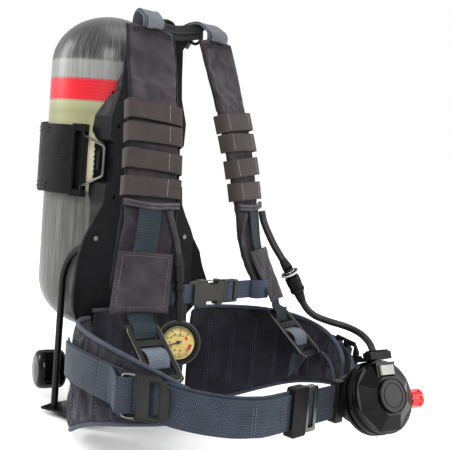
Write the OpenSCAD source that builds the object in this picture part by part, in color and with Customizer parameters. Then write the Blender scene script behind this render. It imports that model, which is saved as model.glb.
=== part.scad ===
// Self-contained breathing air pack: cylinder on a metal backplate, padded harness, gauge and regulator.
// The wearer faces -Y. The floor is Z = 0, the front face of the backplate is Y = 0.

/* [Cylinder] */
// Outside diameter of the wrapped cylinder
cyl_d = 174; // [150:1:180]
// Height of the cylinder's upper end above the floor
cyl_top = 590; // [560:1:620]
// Wall of the fibre wrap
wrap_t = 7; // [4:1:10]
// Wall of the metal liner
liner_t = 2.5; // [1.5:0.5:4]

/* [Backplate] */
// Thickness of the pressed plate
plate_t = 3; // [2:0.5:4]
// Radius of the four accessory holes
hole_r = 3; // [2:0.5:4]
// Half spacing of the accessory holes across the plate
hole_x = 57; // [50:1:60]
// Height of the upper accessory holes
hole_z_top = 425; // [415:1:435]
// Height of the lower accessory holes
hole_z_low = 326; // [320:1:336]
// Diameter of the guard rods
rod_d = 10; // [8:1:12]

/* [Harness] */
// Width of a shoulder pad
pad_w = 74; // [60:1:80]
// Thickness of a shoulder pad
pad_t = 18; // [12:1:22]
// Thickness of the waist wings
wing_t = 16; // [10:1:20]
// Width of the waist webbing
belt_w = 44; // [38:1:50]
// Thickness of all webbing
web_t = 2.4; // [1.5:0.1:3]

/* [Hoses] */
// Diameter of the gauge hose
gauge_hose_d = 9; // [7:1:10]
// Diameter of the supply hose
supply_hose_d = 10; // [8:1:12]

/* [Regulator] */
// Outer radius of the regulator housing
reg_r = 45; // [40:1:50]
// Depth of the regulator from spigot shoulder to cover face
reg_depth = 54; // [48:1:60]

/* [Hidden] */
$fn = 64;

gap = 0.3;                 // clearance between curved soft faces
run = 0.05;                // running clearance of a shaft in its hole
cyl_r = cyl_d / 2;
cyl_y = plate_t + 13 + cyl_r;
foot_t = 8;
base_t = 3;
base_top = foot_t + base_t;
neck_z = 112;              // lower end of the cylinder's neck
neck_r = 24;
dome_h = 76;               // height of each rounded end
rod_x = 88;
rod_y = 66;
valve_z = 50;
hand_turn = 160;           // direction of the handwheel's axis, seen from above

// ---------- small vector helpers ----------
function unit(v) = v / norm(v);
function arc(r, from, to, n, c = [0, 0]) =
    [for (i = [0:n]) let (a = from + (to - from) * i / n) c + r * [cos(a), sin(a)]];
function ellipse_arc(rx, ry, from, to, n, c) =
    [for (i = [0:n]) let (a = from + (to - from) * i / n) c + [rx * cos(a), ry * sin(a)]];
function mid(a, b, c, d, t) =
    0.5 * ((2 * b) + (c - a) * t + (2 * a - 5 * b + 4 * c - d) * t * t + (3 * b - a - 3 * c + d) * t * t * t);
// Smooth curve through hand-placed points, n steps in each stretch
function smooth(p, n) = concat(
    [for (i = [0:len(p) - 2], k = [0:n - 1])
        mid(p[max(i - 1, 0)], p[i], p[i + 1], p[min(i + 2, len(p) - 1)], k / n)],
    [p[len(p) - 1]]);
function tangent(p, i) = unit(p[min(i + 1, len(p) - 1)] - p[max(i - 1, 0)]);
function across(p, a, i) = let (t = tangent(p, i)) unit(a[i] - t * (a[i] * t));
function normal(p, a, i) = cross(tangent(p, i), across(p, a, i));
// Rings of a section (u across, v along the normal) carried along a path
function rings(p, a, section) = [for (i = [0:len(p) - 1])
    let (u = across(p, a, i), v = cross(tangent(p, i), u)) [for (s = section) p[i] + u * s[0] + v * s[1]]];
function round_section(r, n) = [for (k = [0:n - 1]) r * [cos(360 * k / n), sin(360 * k / n)]];
function pad_section(w, t, c) = [
    [w / 2, -t / 2 + c], [w / 2, t / 2 - c], [w / 2 - c, t / 2], [c - w / 2, t / 2],
    [-w / 2, t / 2 - c], [-w / 2, c - t / 2], [c - w / 2, -t / 2], [w / 2 - c, -t / 2]];
function flat_section(w, v0, v1) = [[w / 2, v0], [w / 2, v1], [-w / 2, v1], [-w / 2, v0]];

// Closed solid through a list of rings that all have the same number of points.
// With strip set, a ring is an outer line and the matching inner line back, and each end is closed between them.
module loft(r, strip = false) {
    n = len(r);
    m = len(r[0]);
    cap = strip
        ? [for (k = [0:m / 2 - 2], h = [0, 1]) h == 0 ? [k, k + 1, m - 2 - k] : [k, m - 2 - k, m - 1 - k]]
        : [[for (k = [0:m - 1]) k]];
    far_cap = [for (c = cap) [for (i = [len(c) - 1:-1:0]) (n - 1) * m + c[i]]];
    points = [for (ring = r, q = ring) q];
    sides = [for (i = [0:n - 2], k = [0:m - 1], h = [0, 1])
        let (a = i * m + k, b = i * m + (k + 1) % m)
        h == 0 ? [a, a + m, b + m] : [a, b + m, b]];
    polyhedron(points, concat(cap, sides, far_cap));
}

// Round bar between two points
module bar(p, q, r) {
    d = q - p;
    translate(p) rotate([0, acos(d[2] / norm(d)), atan2(d[1], d[0])]) cylinder(r = r, h = norm(d));
}

module both_sides() {
    children();
    mirror([1, 0, 0]) children();
}

module rounded_plate(w, h, r) {
    hull() for (x = [-1, 1], y = [-1, 1]) translate([x * (w / 2 - r), y * (h / 2 - r)]) circle(r);
}

// Sector of a ring wall around the cylinder, angles seen from above
module wall_sector(r0, r1, z0, z1, from, to) {
    translate([0, cyl_y, z0]) rotate([0, 0, from])
        rotate_extrude(angle = to - from) translate([r0, 0]) square([r1 - r0, z1 - z0]);
}

// ---------- backplate ----------
edge = [[92, base_top], [92, 100], [99, 142], [112, 160], [122, 176], [127, 196], [120, 220], [114, 246],
    [97, 280], [84, 300], [75, 317], [72, 344], [61, 350], [61, 400], [69, 406], [70, 439], [58, 474],
    [55, 505], [52, 556]];
flange_edge = [for (p = edge) if (p[1] >= 280 && p[1] <= 505) p];
// Depth of the side flange at each height
flange_depth = [[0, 280], [37, 327], [40, 344], [22, 350], [22, 400], [30, 404], [44, 418], [38, 440], [0, 505]];

module plate_outline() {
    polygon(concat(edge, [for (i = [len(edge) - 1:-1:0]) [-edge[i][0], edge[i][1]]]));
}

// Flat back with both lower wings bent forward
module plate_bend() {
    t = plate_t;
    polygon([[-104, 0], [-118, -8], [-130, -20], [-133, -18], [-120, -5], [-105, t],
        [105, t], [120, -5], [133, -18], [130, -20], [118, -8], [104, 0]]);
}

module backplate() {
    color([0.06, 0.06, 0.065]) difference() {
        union() {
            intersection() {
                translate([0, 10, 0]) rotate([90, 0, 0]) linear_extrude(40) plate_outline();
                linear_extrude(600) plate_bend();
            }
            both_sides() intersection() {
                translate([0, 50, 0]) rotate([90, 0, 0]) linear_extrude(50)
                    polygon(concat(flange_edge,
                        [for (i = [len(flange_edge) - 1:-1:0]) flange_edge[i] - [plate_t, 0]]));
                rotate([90, 0, 90]) linear_extrude(110) polygon(flange_depth);
            }
        }
        for (x = [-hole_x, hole_x], z = [hole_z_top, hole_z_low])
            translate([x, plate_t + 1, z]) rotate([90, 0, 0]) cylinder(r = hole_r, h = plate_t + 2);
        for (x = [-84, 84]) translate([x, plate_t + 1, 268]) rotate([90, 0, 0]) cylinder(r = 2, h = plate_t + 2);
        for (x = [-84, 84]) translate([x, plate_t + 1, 124]) rotate([90, 0, 0]) cylinder(r = 2, h = plate_t + 2);
        for (x = [-1, 1]) translate([x * 60, 15, 478]) cube([20, 6, 16], center = true);
    }
}

module plate_rivets() {
    color([0.75, 0.75, 0.77]) for (x = [-84, 84], z = [268, 124]) translate([x, 0, z]) rotate([90, 0, 0]) {
        translate([0, 0, -plate_t - 0.6]) cylinder(r = 2, h = plate_t + 0.6);
        cylinder(r = 3.6, h = 1.2);
    }
}

// Base under the valve, with the two guard rods welded to it
module guard_frame() {
    bend_r = rod_y - plate_t;
    bend_z = 256 - bend_r;
    color([0.05, 0.05, 0.055]) {
        both_sides() {
            translate([rod_x, rod_y, base_top - 0.5]) cylinder(d = rod_d, h = bend_z - base_top + 0.5);
            translate([rod_x, rod_y - bend_r, bend_z]) rotate([90, 0, 90])
                rotate_extrude(angle = 90) translate([bend_r, 0]) circle(d = rod_d);
        }
        translate([0, 0, foot_t]) linear_extrude(base_t) difference() {
            polygon([[-92, -4], [92, -4], [96, 50], [104, 76], [84, 82], [-84, 82], [-104, 76], [-96, 50]]);
            translate([0, 62]) rounded_plate(60, 16, 6);
        }
    }
}

module foot_bumper() {
    color([0.09, 0.09, 0.09]) difference() {
        translate([0, 36, 0]) linear_extrude(foot_t) rounded_plate(164, 84, 8);
        translate([0, 36, -1]) linear_extrude(foot_t - 3) rounded_plate(110, 20, 4);
    }
}

module cylinder_saddles() {
    color([0.1, 0.1, 0.1]) for (z = [446, 236]) difference() {
        translate([-44, plate_t, z]) cube([88, 24, 24]);
        translate([0, cyl_y, z - 1]) cylinder(r = cyl_r + 0.1, h = 26);
    }
}

// ---------- cylinder band and latch ----------
band_z0 = 352;
band_z1 = 398;
latch_z0 = 322;
latch_z1 = 425;
pin_a = 122;                           // where the latch pin stands, seen from above
pin_r = cyl_r + 11;
pin_at = [pin_r * cos(pin_a), cyl_y + pin_r * sin(pin_a)];
bail_at = [(cyl_r + 9) * cos(214), cyl_y + (cyl_r + 9) * sin(214)];
bail_z = [338, 409];
hook_at = [-69.5, 13];

module cylinder_band() {
    color([0.2, 0.19, 0.18]) difference() {
        union() {
            wall_sector(cyl_r + 0.3, cyl_r + 2.8, band_z0, band_z1, -40, pin_a + 2);
            translate([pin_at[0], pin_at[1], band_z0]) cylinder(r = 8, h = band_z1 - band_z0);
            wall_sector(cyl_r + 0.3, cyl_r + 5, band_z0 + 4, band_z1 - 4, -40, -32);
        }
        translate([pin_at[0], pin_at[1], band_z0 - 1]) cylinder(r = 3, h = band_z1 - band_z0 + 2);
        translate([0, cyl_y, band_z0 - 1]) cylinder(r = cyl_r + 0.3, h = band_z1 - band_z0 + 2);
    }
}

module latch_pin() {
    color([0.7, 0.7, 0.72]) translate([pin_at[0], pin_at[1], latch_z0 - 1]) {
        cylinder(r = 3, h = latch_z1 - latch_z0 + 2);
        translate([0, 0, -1.5]) cylinder(r = 4.4, h = 1.5);
        translate([0, 0, latch_z1 - latch_z0 + 2]) cylinder(r = 4.4, h = 1.5);
    }
}

module latch_lever() {
    color([0.07, 0.07, 0.075]) difference() {
        union() {
            // curved body with a raised rim at its free end
            wall_sector(cyl_r - 3, cyl_r + 11, latch_z0 + 2, latch_z1 - 2, 150, 206);
            wall_sector(cyl_r - 3, cyl_r + 15, latch_z0, latch_z1, 205, 217);
            // two arms that reach back to the pin, above and below the band
            wall_sector(cyl_r - 3, cyl_r + 9, band_z1 + 1, latch_z1, pin_a + 3, 151);
            wall_sector(cyl_r - 3, cyl_r + 9, latch_z0, band_z0 - 1, pin_a + 3, 151);
            translate([pin_at[0], pin_at[1], band_z1 + 1]) cylinder(r = 8, h = latch_z1 - band_z1 - 1);
            translate([pin_at[0], pin_at[1], latch_z0]) cylinder(r = 8, h = band_z0 - 1 - latch_z0);
            for (z = [latch_z0 + 6, latch_z1 - 12], a = [130, 137, 144])
                wall_sector(cyl_r + 8, cyl_r + 10.5, z, z + 6, a, a + 4);
        }
        translate([pin_at[0], pin_at[1], latch_z0 - 1]) cylinder(r = 3 + run, h = 120);
        // window in the rim for the wire
        wall_sector(cyl_r + 4, cyl_r + 30, bail_z[0] - 6, bail_z[1] + 6, 208, 222);
        translate([bail_at[0], bail_at[1], latch_z0 + 3]) cylinder(r = 2.05 + run, h = latch_z1 - latch_z0 - 6);
        translate([0, cyl_y, latch_z0 - 1]) cylinder(r = cyl_r + 1, h = 120);
    }
}

module latch_bail() {
    d = unit([hook_at[0] - bail_at[0], hook_at[1] - bail_at[1], 0]);
    top = [bail_at[0], bail_at[1], bail_z[1]];
    low = [bail_at[0], bail_at[1], bail_z[0]];
    hook_top = [hook_at[0], hook_at[1], 396];
    hook_low = [hook_at[0], hook_at[1], 354];
    up = [0, 0, 1];
    // the wire turns each corner in three short steps
    path = [top + up * 12, top + up * 2, top + d * 0.7 + up * 0.4, top + d * 3, hook_top - d * 3 + up,
        hook_top - d * 0.6 - up * 0.6, hook_top - up * 4, hook_low + up * 4, hook_low - d * 0.6 + up * 0.6,
        hook_low - d * 3 - up, low + d * 3, low + d * 0.7 - up * 0.4, low - up * 2, low - up * 12];
    side = [for (p = path) [-d[1], d[0], 0]];
    color([0.55, 0.55, 0.56]) loft(rings(path, side, round_section(2, 16)));
}

module hook_rack() {
    color([0.05, 0.05, 0.055]) difference() {
        union() {
            translate([-66, 17, 350.5]) cube([4, 24, 49]);
            translate([-75, 17, 362]) cube([10, 5, 26]);
        }
        for (z = [356:7:396]) translate([-80, 41, z]) rotate([0, 90, 0]) cylinder(r = 2.4, h = 20);
        translate([0, cyl_y, 340]) cylinder(r = cyl_r + 0.5, h = 70);
    }
}

// ---------- cylinder ----------
dome_top_z = cyl_top - dome_h;
dome_low_z = neck_z + 10 + dome_h - 4;

// Half outline of the cylinder, grown inward by t
function shell_outline(t) = concat(
    [[0, cyl_top - t]],
    [for (p = ellipse_arc(cyl_r - t, dome_h - t, 88, 0, 14, [0, dome_top_z])) p],
    [for (p = ellipse_arc(cyl_r - t, dome_h - t, 0, -72, 14, [0, dome_low_z])) p],
    [[neck_r - t, neck_z + 8], [neck_r - t, neck_z]]);

module shell(t0, t1) {
    translate([0, cyl_y, 0]) rotate_extrude($fn = 128) polygon(concat(shell_outline(t0),
        [for (i = [len(shell_outline(t1)) - 1:-1:0]) shell_outline(t1)[i]]));
}

module cylinder_wrap() {
    color([0.55, 0.55, 0.53]) shell(0, wrap_t);
}

module cylinder_liner() {
    color([0.75, 0.76, 0.78]) shell(wrap_t + 0.02, wrap_t + liner_t);
}

module neck_ring() {
    color([0.3, 0.3, 0.31]) translate([0, cyl_y, neck_z - 6]) difference() {
        cylinder(r = neck_r + 2, h = 6);
        translate([0, 0, -1]) cylinder(r = 13.1, h = 8);
    }
}

module along_valve() {
    translate([0, cyl_y, valve_z]) rotate([0, 0, hand_turn]) rotate([0, 90, 0]) children();
}

module valve_body() {
    color([0.78, 0.78, 0.76]) difference() {
        union() {
            translate([0, cyl_y, valve_z - 20]) cylinder(r = 17, h = neck_z - 6 - valve_z + 20);
            translate([0, cyl_y, neck_z - 6]) cylinder(r = 13, h = 36);
            along_valve() cylinder(r = 16, h = 36);
            translate([0, cyl_y, valve_z]) rotate([90, 0, 0]) cylinder(r = 12, h = 38);
            translate([0, cyl_y, valve_z]) rotate([0, 90, 0]) cylinder(r = 9, h = 27);
        }
        translate([0, cyl_y, valve_z]) cylinder(r = 4, h = 120);
        along_valve() cylinder(r = 5 + run, h = 40);
        translate([0, cyl_y, valve_z]) rotate([90, 0, 0]) cylinder(r = 3, h = 40);
    }
}

module valve_guard() {
    color([0.6, 0.6, 0.6]) along_valve() translate([0, 0, 24]) difference() {
        rotate_extrude() translate([24, 0]) hull() {
            translate([-2, 0]) circle(4, $fn = 24);
            translate([2, 0]) circle(4, $fn = 24);
        }
        translate([0, 0, -10]) cylinder(r = 16 + gap, h = 20);
    }
    color([0.6, 0.6, 0.6]) along_valve() translate([0, 0, 22]) difference() {
        cylinder(r = 20, h = 4);
        translate([0, 0, -1]) cylinder(r = 16.05, h = 6);
    }
}

module valve_spindle() {
    color([0.8, 0.8, 0.78]) along_valve() {
        translate([0, 0, 8]) cylinder(r = 5, h = 44);
        translate([0, 0, 38]) cylinder(r = 8, h = 4);
    }
}

module handwheel() {
    color([0.04, 0.04, 0.045]) along_valve() translate([0, 0, 44]) difference() {
        union() {
            rotate_extrude() polygon(concat([[0, 0], [27, 0], [29, 3]],
                arc(10, 0, 80, 8, [19.5, 32]), [[0, 43.5]]));
        }
        for (a = [0:30:330]) rotate([0, 0, a]) translate([32, 0, 4]) cylinder(r = 4.5, h = 26);
        translate([0, 0, -1]) cylinder(r = 5, h = 9);
    }
}

// ---------- pressure reducer ----------
red_y = 30;
red_r = 18;
piston_r = 12;

module reducer_body() {
    color([0.62, 0.62, 0.6]) difference() {
        union() {
            translate([-38, red_y, valve_z]) rotate([0, 90, 0]) cylinder(r = red_r, h = 62);
            translate([0, cyl_y - 44, valve_z]) rotate([90, 0, 0]) cylinder(r = 11, h = cyl_y - 44 - red_y);
            translate([-24, red_y, valve_z]) cylinder(r = 8, h = 34);
            translate([4, red_y, valve_z]) cylinder(r = 7, h = 30);
            translate([-30, plate_t, valve_z - 8]) cube([44, red_y - plate_t - 8, 16]);
        }
        translate([-20, red_y, valve_z]) rotate([0, 90, 0]) cylinder(r = piston_r + run, h = 50);
        translate([0, cyl_y - 42, valve_z]) rotate([90, 0, 0]) cylinder(r = 3, h = cyl_y - 42 - red_y);
    }
}

module reducer_cap() {
    color([0.3, 0.3, 0.31]) translate([24, red_y, valve_z]) rotate([0, 90, 0]) difference() {
        cylinder(r = red_r + 2, h = 14);
        translate([0, 0, -1]) cylinder(r = piston_r, h = 9);
    }
}

module reducer_piston() {
    color([0.8, 0.78, 0.6]) translate([-16, red_y, valve_z]) rotate([0, 90, 0]) {
        cylinder(r = piston_r, h = 10);
        cylinder(r = 5, h = 18);
    }
}

module reducer_spring() {
    color([0.7, 0.7, 0.72]) translate([-6 + gap, red_y, valve_z]) rotate([0, 90, 0]) difference() {
        cylinder(r = 9, h = 37);
        translate([0, 0, -1]) cylinder(r = 6.5, h = 40);
    }
}

module coupling_nut() {
    color([0.68, 0.68, 0.66]) translate([0, cyl_y - 36, valve_z]) rotate([90, 0, 0]) difference() {
        union() {
            cylinder(r = 19, h = 14, $fn = 6);
            translate([0, 0, 14]) cylinder(r = 15, h = 3);
        }
        translate([0, 0, -1]) cylinder(r = 12.1, h = 5);
        translate([0, 0, -1]) cylinder(r = 11 + run, h = 40);
    }
}

// ---------- shoulder straps (built for the wearer's right, at -X) ----------
strap_points = [[-60, -56, 560], [-65, -70, 520], [-74, -92, 450], [-83, -108, 385], [-91, -118, 322],
    [-101, -125, 262], [-122, -145, 200], [-126, -150, 187]];
strap_turn = [8, 9, 12, 16, 20, 24, 28, 28];
strap_step = 6;
strap_path = smooth(strap_points, strap_step);
strap_across = [for (v = smooth([for (a = strap_turn) [cos(a), -sin(a), 0]], strap_step)) v];

// Point of the strap at a height, moved u across and v out from the pad's middle
function on_strap(z, u, v) = let (k = max([for (i = [0:len(strap_path) - 2]) strap_path[i][2] >= z ? i : 0]),
    f = (strap_path[k][2] - z) / (strap_path[k][2] - strap_path[k + 1][2]),
    p = strap_path[k] * (1 - f) + strap_path[k + 1] * f,
    a = unit(across(strap_path, strap_across, k) * (1 - f) + across(strap_path, strap_across, k + 1) * f),
    n = unit(normal(strap_path, strap_across, k) * (1 - f) + normal(strap_path, strap_across, k + 1) * f))
    p + a * u + n * v;
function strap_ring(z, section) = [for (s = section) on_strap(z, s[0], s[1])];

function strap_rings(z0, z1, n, section) = [for (i = [0:n]) strap_ring(z0 + (z1 - z0) * i / n, section)];

module strap_solid(z0, z1, n, section) {
    loft(strap_rings(z0, z1, n, section));
}

module shoulder_pad() {
    strap_solid(559, 214, 20, pad_section(pad_w, pad_t, 5));
}

// One keeper: a flat band across the front whose ends turn round the pad's edges
module strap_loop(z0, z1) {
    w = pad_w / 2 + gap;
    t = pad_t / 2 + gap;
    g = 2.2;
    loft(strap_rings(z0, z1, 2, [[w + g, 0], [w + g, t - 3], [w - 3, t + g], [3 - w, t + g], [-w - g, t - 3],
        [-w - g, 0], [-w, 0], [-w, t - 4], [4 - w, t], [w - 4, t], [w, t - 4], [w, 0]]), strip = true);
}

loop_tops = [456, 428, 394, 361];
module strap_loops() {
    color([0.33, 0.31, 0.31]) both_sides() {
        for (z = loop_tops) strap_loop(z, z - 26);
        strap_loop(334, 323);
    }
}

module shoulder_pad_right() {
    color([0.3, 0.29, 0.31]) shoulder_pad();
}

module shoulder_pad_left() {
    color([0.3, 0.29, 0.31]) mirror([1, 0, 0]) shoulder_pad();
}

front = pad_t / 2;         // front face of the pad, from the pad's middle

module strap_flaps() {
    color([0.31, 0.3, 0.32]) both_sides()
        strap_solid(262, 191, 6, flat_section(62, front + 4, front + 7));
}

adj_top = [-127, -160, 181];           // upper bar of the shoulder adjuster
adj_dir = unit([-10, -74, -60]);       // from the upper bar to its free end

module shoulder_webbing() {
    color([0.12, 0.2, 0.24]) both_sides() {
        strap_solid(320, 182, 12, flat_section(32, front + gap, front + gap + web_t));
        // from the adjuster's lower bar back down to the inside of the waist wing
        tail = smooth([[-135, -202, 137], [-139, -196, 126], [-147, -187, 110], [-154, -180, 92]], 4);
        side = [for (p = tail) [1, -0.25, 0]];
        loft(rings(tail, side, flat_section(32, 0, web_t)));
    }
}

// Flat metal adjuster in its own plane: x across, y from the hinge bar to the free end
module adjuster_plate(w, l, t, bar_r, slots) {
    difference() {
        union() {
            translate([0, l / 2, 0]) linear_extrude(t, center = true) rounded_plate(w, l, 5);
            rotate([0, 90, 0]) translate([0, 0, -w / 2]) cylinder(r = bar_r, h = w);
        }
        for (s = slots) translate([0, s[0], 0]) cube([w - 14, s[1], 10], center = true);
    }
}

// Puts an adjuster's own plane at the upper bar; x across, y along the adjuster
module at_adjuster() {
    turn = atan2(adj_dir[0], -adj_dir[1]);
    drop = asin(-adj_dir[2]);
    translate(adj_top) rotate([0, 0, turn]) rotate([drop, 0, 0]) rotate([0, 0, 180]) children();
}

module shoulder_adjuster() {
    color([0.42, 0.42, 0.43]) at_adjuster()
        translate([0, 0, 0]) adjuster_plate(48, 86, 3, 3, [[16, 14], [38, 12], [66, 20]]);
}

module shoulder_adjuster_right() {
    shoulder_adjuster();
}

module shoulder_adjuster_left() {
    mirror([1, 0, 0]) shoulder_adjuster();
}

module ribbon(points, steps, side, w, t) {
    path = smooth(points, steps);
    loft(rings(path, [for (p = path) side], flat_section(w, -t / 2, t / 2)));
}

module yoke() {
    // hangers that carry each pad from the top of the plate
    color([0.5, 0.5, 0.5]) both_sides()
        ribbon([[-59, -61, 562.5], [-58, -58, 573], [-54, -41, 581], [-44, -21, 573], [-38, -8, 552]], 4, [1, 0, 0],
            34, 4);
    // cross strap between the pads and the drag handle behind it
    color([0.12, 0.12, 0.125]) {
        ribbon([[-38, -40, 570], [-16, -34, 565], [16, -34, 565], [38, -40, 570]], 4, [0, 0.5, 1], 24, 4);
        ribbon([[-20, -13, 541], [-20, -13, 562], [-11, -14, 578], [11, -14, 578], [20, -13, 562], [20, -13, 541]], 4,
            [0, 1, 0], 12, 3);
        translate([-26, -17, 534]) cube([52, 16.6, 10]);
    }
}

// ---------- chest strap ----------
chest_y = -151;
chest_z = 214;

module chest_strap() {
    color([0.25, 0.3, 0.38]) {
        translate([-94, chest_y - web_t / 2, chest_z - 12.5]) cube([62, web_t, 25]);
        translate([72, chest_y - web_t / 2, chest_z - 12.5]) cube([22, web_t, 25]);
    }
}

// Run of the strap that gathers when the plug is drawn out
module chest_strap_lead() {
    color([0.25, 0.3, 0.38]) translate([16, chest_y - web_t / 2, chest_z - 12.5]) cube([56, web_t, 25]);
}

module chest_buckle_socket() {
    color([0.12, 0.12, 0.125]) translate([-7, chest_y, chest_z]) rotate([90, 0, 0]) difference() {
        linear_extrude(11, center = true) union() {
            translate([2, 0]) rounded_plate(46, 34, 5);
            translate([-20, 0]) rounded_plate(18, 31, 3);
        }
        // mouth for the plug, open toward +X
        translate([-12, -13.2, -3.3]) cube([50, 26.4, 6.6]);
        // side windows
        for (s = [-1, 1]) translate([4, s * 16, 0]) cube([20, 9, 14], center = true);
        // slot for the webbing
        translate([-40, -12.8, -1.6]) cube([26, 25.6, 3.2]);
    }
}

module chest_buckle_plug() {
    color([0.14, 0.14, 0.145]) translate([-7, chest_y, chest_z]) rotate([90, 0, 0]) difference() {
        union() {
            // guide tongue and two side prongs
            translate([-9, -3.5, -2.6]) cube([36, 7, 5.2]);
            for (s = [-1, 1]) translate([-6, s * 9.6 - 2.8, -2.6]) cube([33, 5.6, 5.2]);
            translate([40, 0, 0]) linear_extrude(9, center = true) rounded_plate(27, 31, 3);
        }
        // ladder slots round the webbing
        translate([22.9, -12.8, -1.7]) cube([40, 25.6, 3.4]);
        for (x = [34, 45]) translate([x - 2.5, -12.8, 0]) cube([5, 25.6, 10]);
    }
}

// ---------- waist ----------
// Plan of the right wing's middle, from the lumbar pad round to its tip, with lower and upper edge heights
wing_plan = [[-94, -16], [-122, -32], [-150, -62], [-172, -104], [-184, -152], [-181, -204], [-163, -248],
    [-140, -277]];
wing_low = [12, 14, 26, 46, 66, 80, 90, 98];
wing_top = [160, 163, 166, 168, 166, 158, 144, 128];

function plan_normal(p, i) = let (t = unit(p[min(i + 1, len(p) - 1)] - p[max(i - 1, 0)])) [-t[1], t[0]];
// Upright ring section at one plan point: outward shifts o0 and o1, heights z0 and z1, corner c
function upright(p, n, o0, o1, z0, z1, c) = [
    [each p + n * o0, z0 + c], [each p + n * (o0 + c), z0], [each p + n * (o1 - c), z0], [each p + n * o1, z0 + c],
    [each p + n * o1, z1 - c], [each p + n * (o1 - c), z1], [each p + n * (o0 + c), z1], [each p + n * o0, z1 - c]];

module waist_wing() {
    n = 4;
    plan = smooth(wing_plan, n);
    low = smooth(wing_low, n);
    top = smooth(wing_top, n);
    loft([for (i = [0:len(plan) - 1])
        upright(plan[i], -plan_normal(plan, i), -wing_t / 2, wing_t / 2, low[i], top[i], 4)]);
}

module waist_wing_right() {
    color([0.3, 0.29, 0.32]) waist_wing();
}

module waist_wing_left() {
    color([0.3, 0.29, 0.32]) mirror([1, 0, 0]) waist_wing();
}

module lumbar_pad() {
    color([0.28, 0.27, 0.3]) {
        plan = [[88, -13], [60, -17], [30, -18.5], [0, -19], [-30, -18.5], [-60, -17], [-88, -13]];
        loft([for (i = [0:len(plan) - 1]) upright(plan[i], -plan_normal(plan, i), -10, 10, 14, 170, 5)]);
    }
}

// Belt line, just outside the wings, and its height
belt_side = [[-158, -58], [-184, -102], [-196, -152], [-192, -208], [-173, -256], [-148, -286], [-112, -310],
    [-74, -322.4]];
belt_side_z = [126, 130, 131, 126, 117, 110, 104, 101];
belt_front_y = -326;
buckle_x = -16;            // middle of the waist buckle

module belt_run(plan, z) {
    loft([for (i = [0:len(plan) - 1]) let (n = -plan_normal(plan, i), p = plan[i])
        [[each p, z[i] - belt_w / 2], [each p + n * web_t, z[i] - belt_w / 2],
            [each p + n * web_t, z[i] + belt_w / 2], [each p, z[i] + belt_w / 2]]]);
}

// Belt from the back of one wing to its half of the buckle, ending at distance x from the middle
module belt_half(x) {
    steps = 4;
    y = belt_front_y + web_t;
    side = concat(smooth(belt_side, steps), [[-64, y], [-x, y]]);
    side_z = concat(smooth(belt_side_z, steps), [101, 101]);
    belt_run(side, side_z);
}

module waist_webbing() {
    color([0.22, 0.26, 0.33]) {
        belt_half(25.2);
        mirror([1, 0, 0]) belt_half(52);
    }
}

// Run of the belt that gathers when the tongue is drawn out
module waist_belt_lead() {
    color([0.22, 0.26, 0.33]) translate([2, belt_front_y, 79]) cube([50, web_t, belt_w]);
}

waist_adj = [-200, -219, 123];       // hinge bar of the waist adjuster
waist_adj_turn = 66;                   // direction of its length in plan
module waist_adjuster() {
    color([0.36, 0.36, 0.37]) translate(waist_adj) rotate([0, 0, -waist_adj_turn]) rotate([4, 0, 0])
        rotate([90, 0, 0]) difference() {
            union() {
                linear_extrude(3, center = true) polygon([[0, -27], [46, -27], [60, -16], [60, 16], [46, 27], [0, 27]]);
                translate([0, -27, 0]) rotate([-90, 0, 0]) cylinder(r = 3, h = 54);
            }
            translate([13, 0, 0]) cube([13, 46, 10], center = true);
            translate([42, 0, 0]) cube([13, 42, 10], center = true);
        }
}

module waist_adjuster_right() {
    waist_adjuster();
}

module waist_adjuster_left() {
    mirror([1, 0, 0]) waist_adjuster();
}

module waist_buckle_socket() {
    color([0.1, 0.1, 0.105]) translate([buckle_x, belt_front_y + web_t / 2, 101]) rotate([90, 0, 0]) difference() {
        linear_extrude(13, center = true) rounded_plate(26, 60, 3);
        translate([-8, -24.5, -2]) cube([40, 49, 4]);
        translate([-40, -23, -1.7]) cube([34, 46, 3.4]);
    }
}

module waist_buckle_tongue() {
    color([0.62, 0.62, 0.62]) translate([buckle_x, belt_front_y + web_t / 2, 101]) rotate([90, 0, 0]) difference() {
        union() {
            translate([-6, -24, -1.5]) cube([22, 48, 3]);
            translate([24, 0, 0]) linear_extrude(9, center = true) rounded_plate(20, 56, 3);
        }
        translate([13.5, -23, -1.8]) cube([30, 46, 3.6]);
        translate([19, -23, 0]) cube([10, 46, 10]);
    }
}

// ---------- regulator, built along its own axis ----------
reg_at = [86, -351, 106];
reg_tilt = 68;
reg_turn = -13.7;
module at_regulator() {
    translate(reg_at) rotate([reg_tilt, 0, reg_turn]) children();
}

module regulator_holder() {
    front_y = belt_front_y - 6;
    back_y = belt_front_y + web_t + 1;
    deep = back_y + 3 - front_y;
    color([0.66, 0.66, 0.66]) {
        // clip round the belt
        translate([56, front_y, 75]) cube([14, 4, 52.5]);
        translate([56, back_y, 75]) cube([14, 3, 52.5]);
        for (z = [75, 124.5]) translate([56, front_y, z]) cube([14, deep, 3]);
        // plate and cup that take the regulator's spigot
        translate([56, front_y, 84]) cube([48, 3, 40]);
        intersection() {
            at_regulator() translate([0, 0, -22]) difference() {
                cylinder(r = 27, h = 21.5);
                translate([0, 0, -1]) cylinder(r = 23 + gap, h = 24);
            }
            translate([50, front_y - 59, 40]) cube([100, 60, 120]);
        }
    }
}

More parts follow.
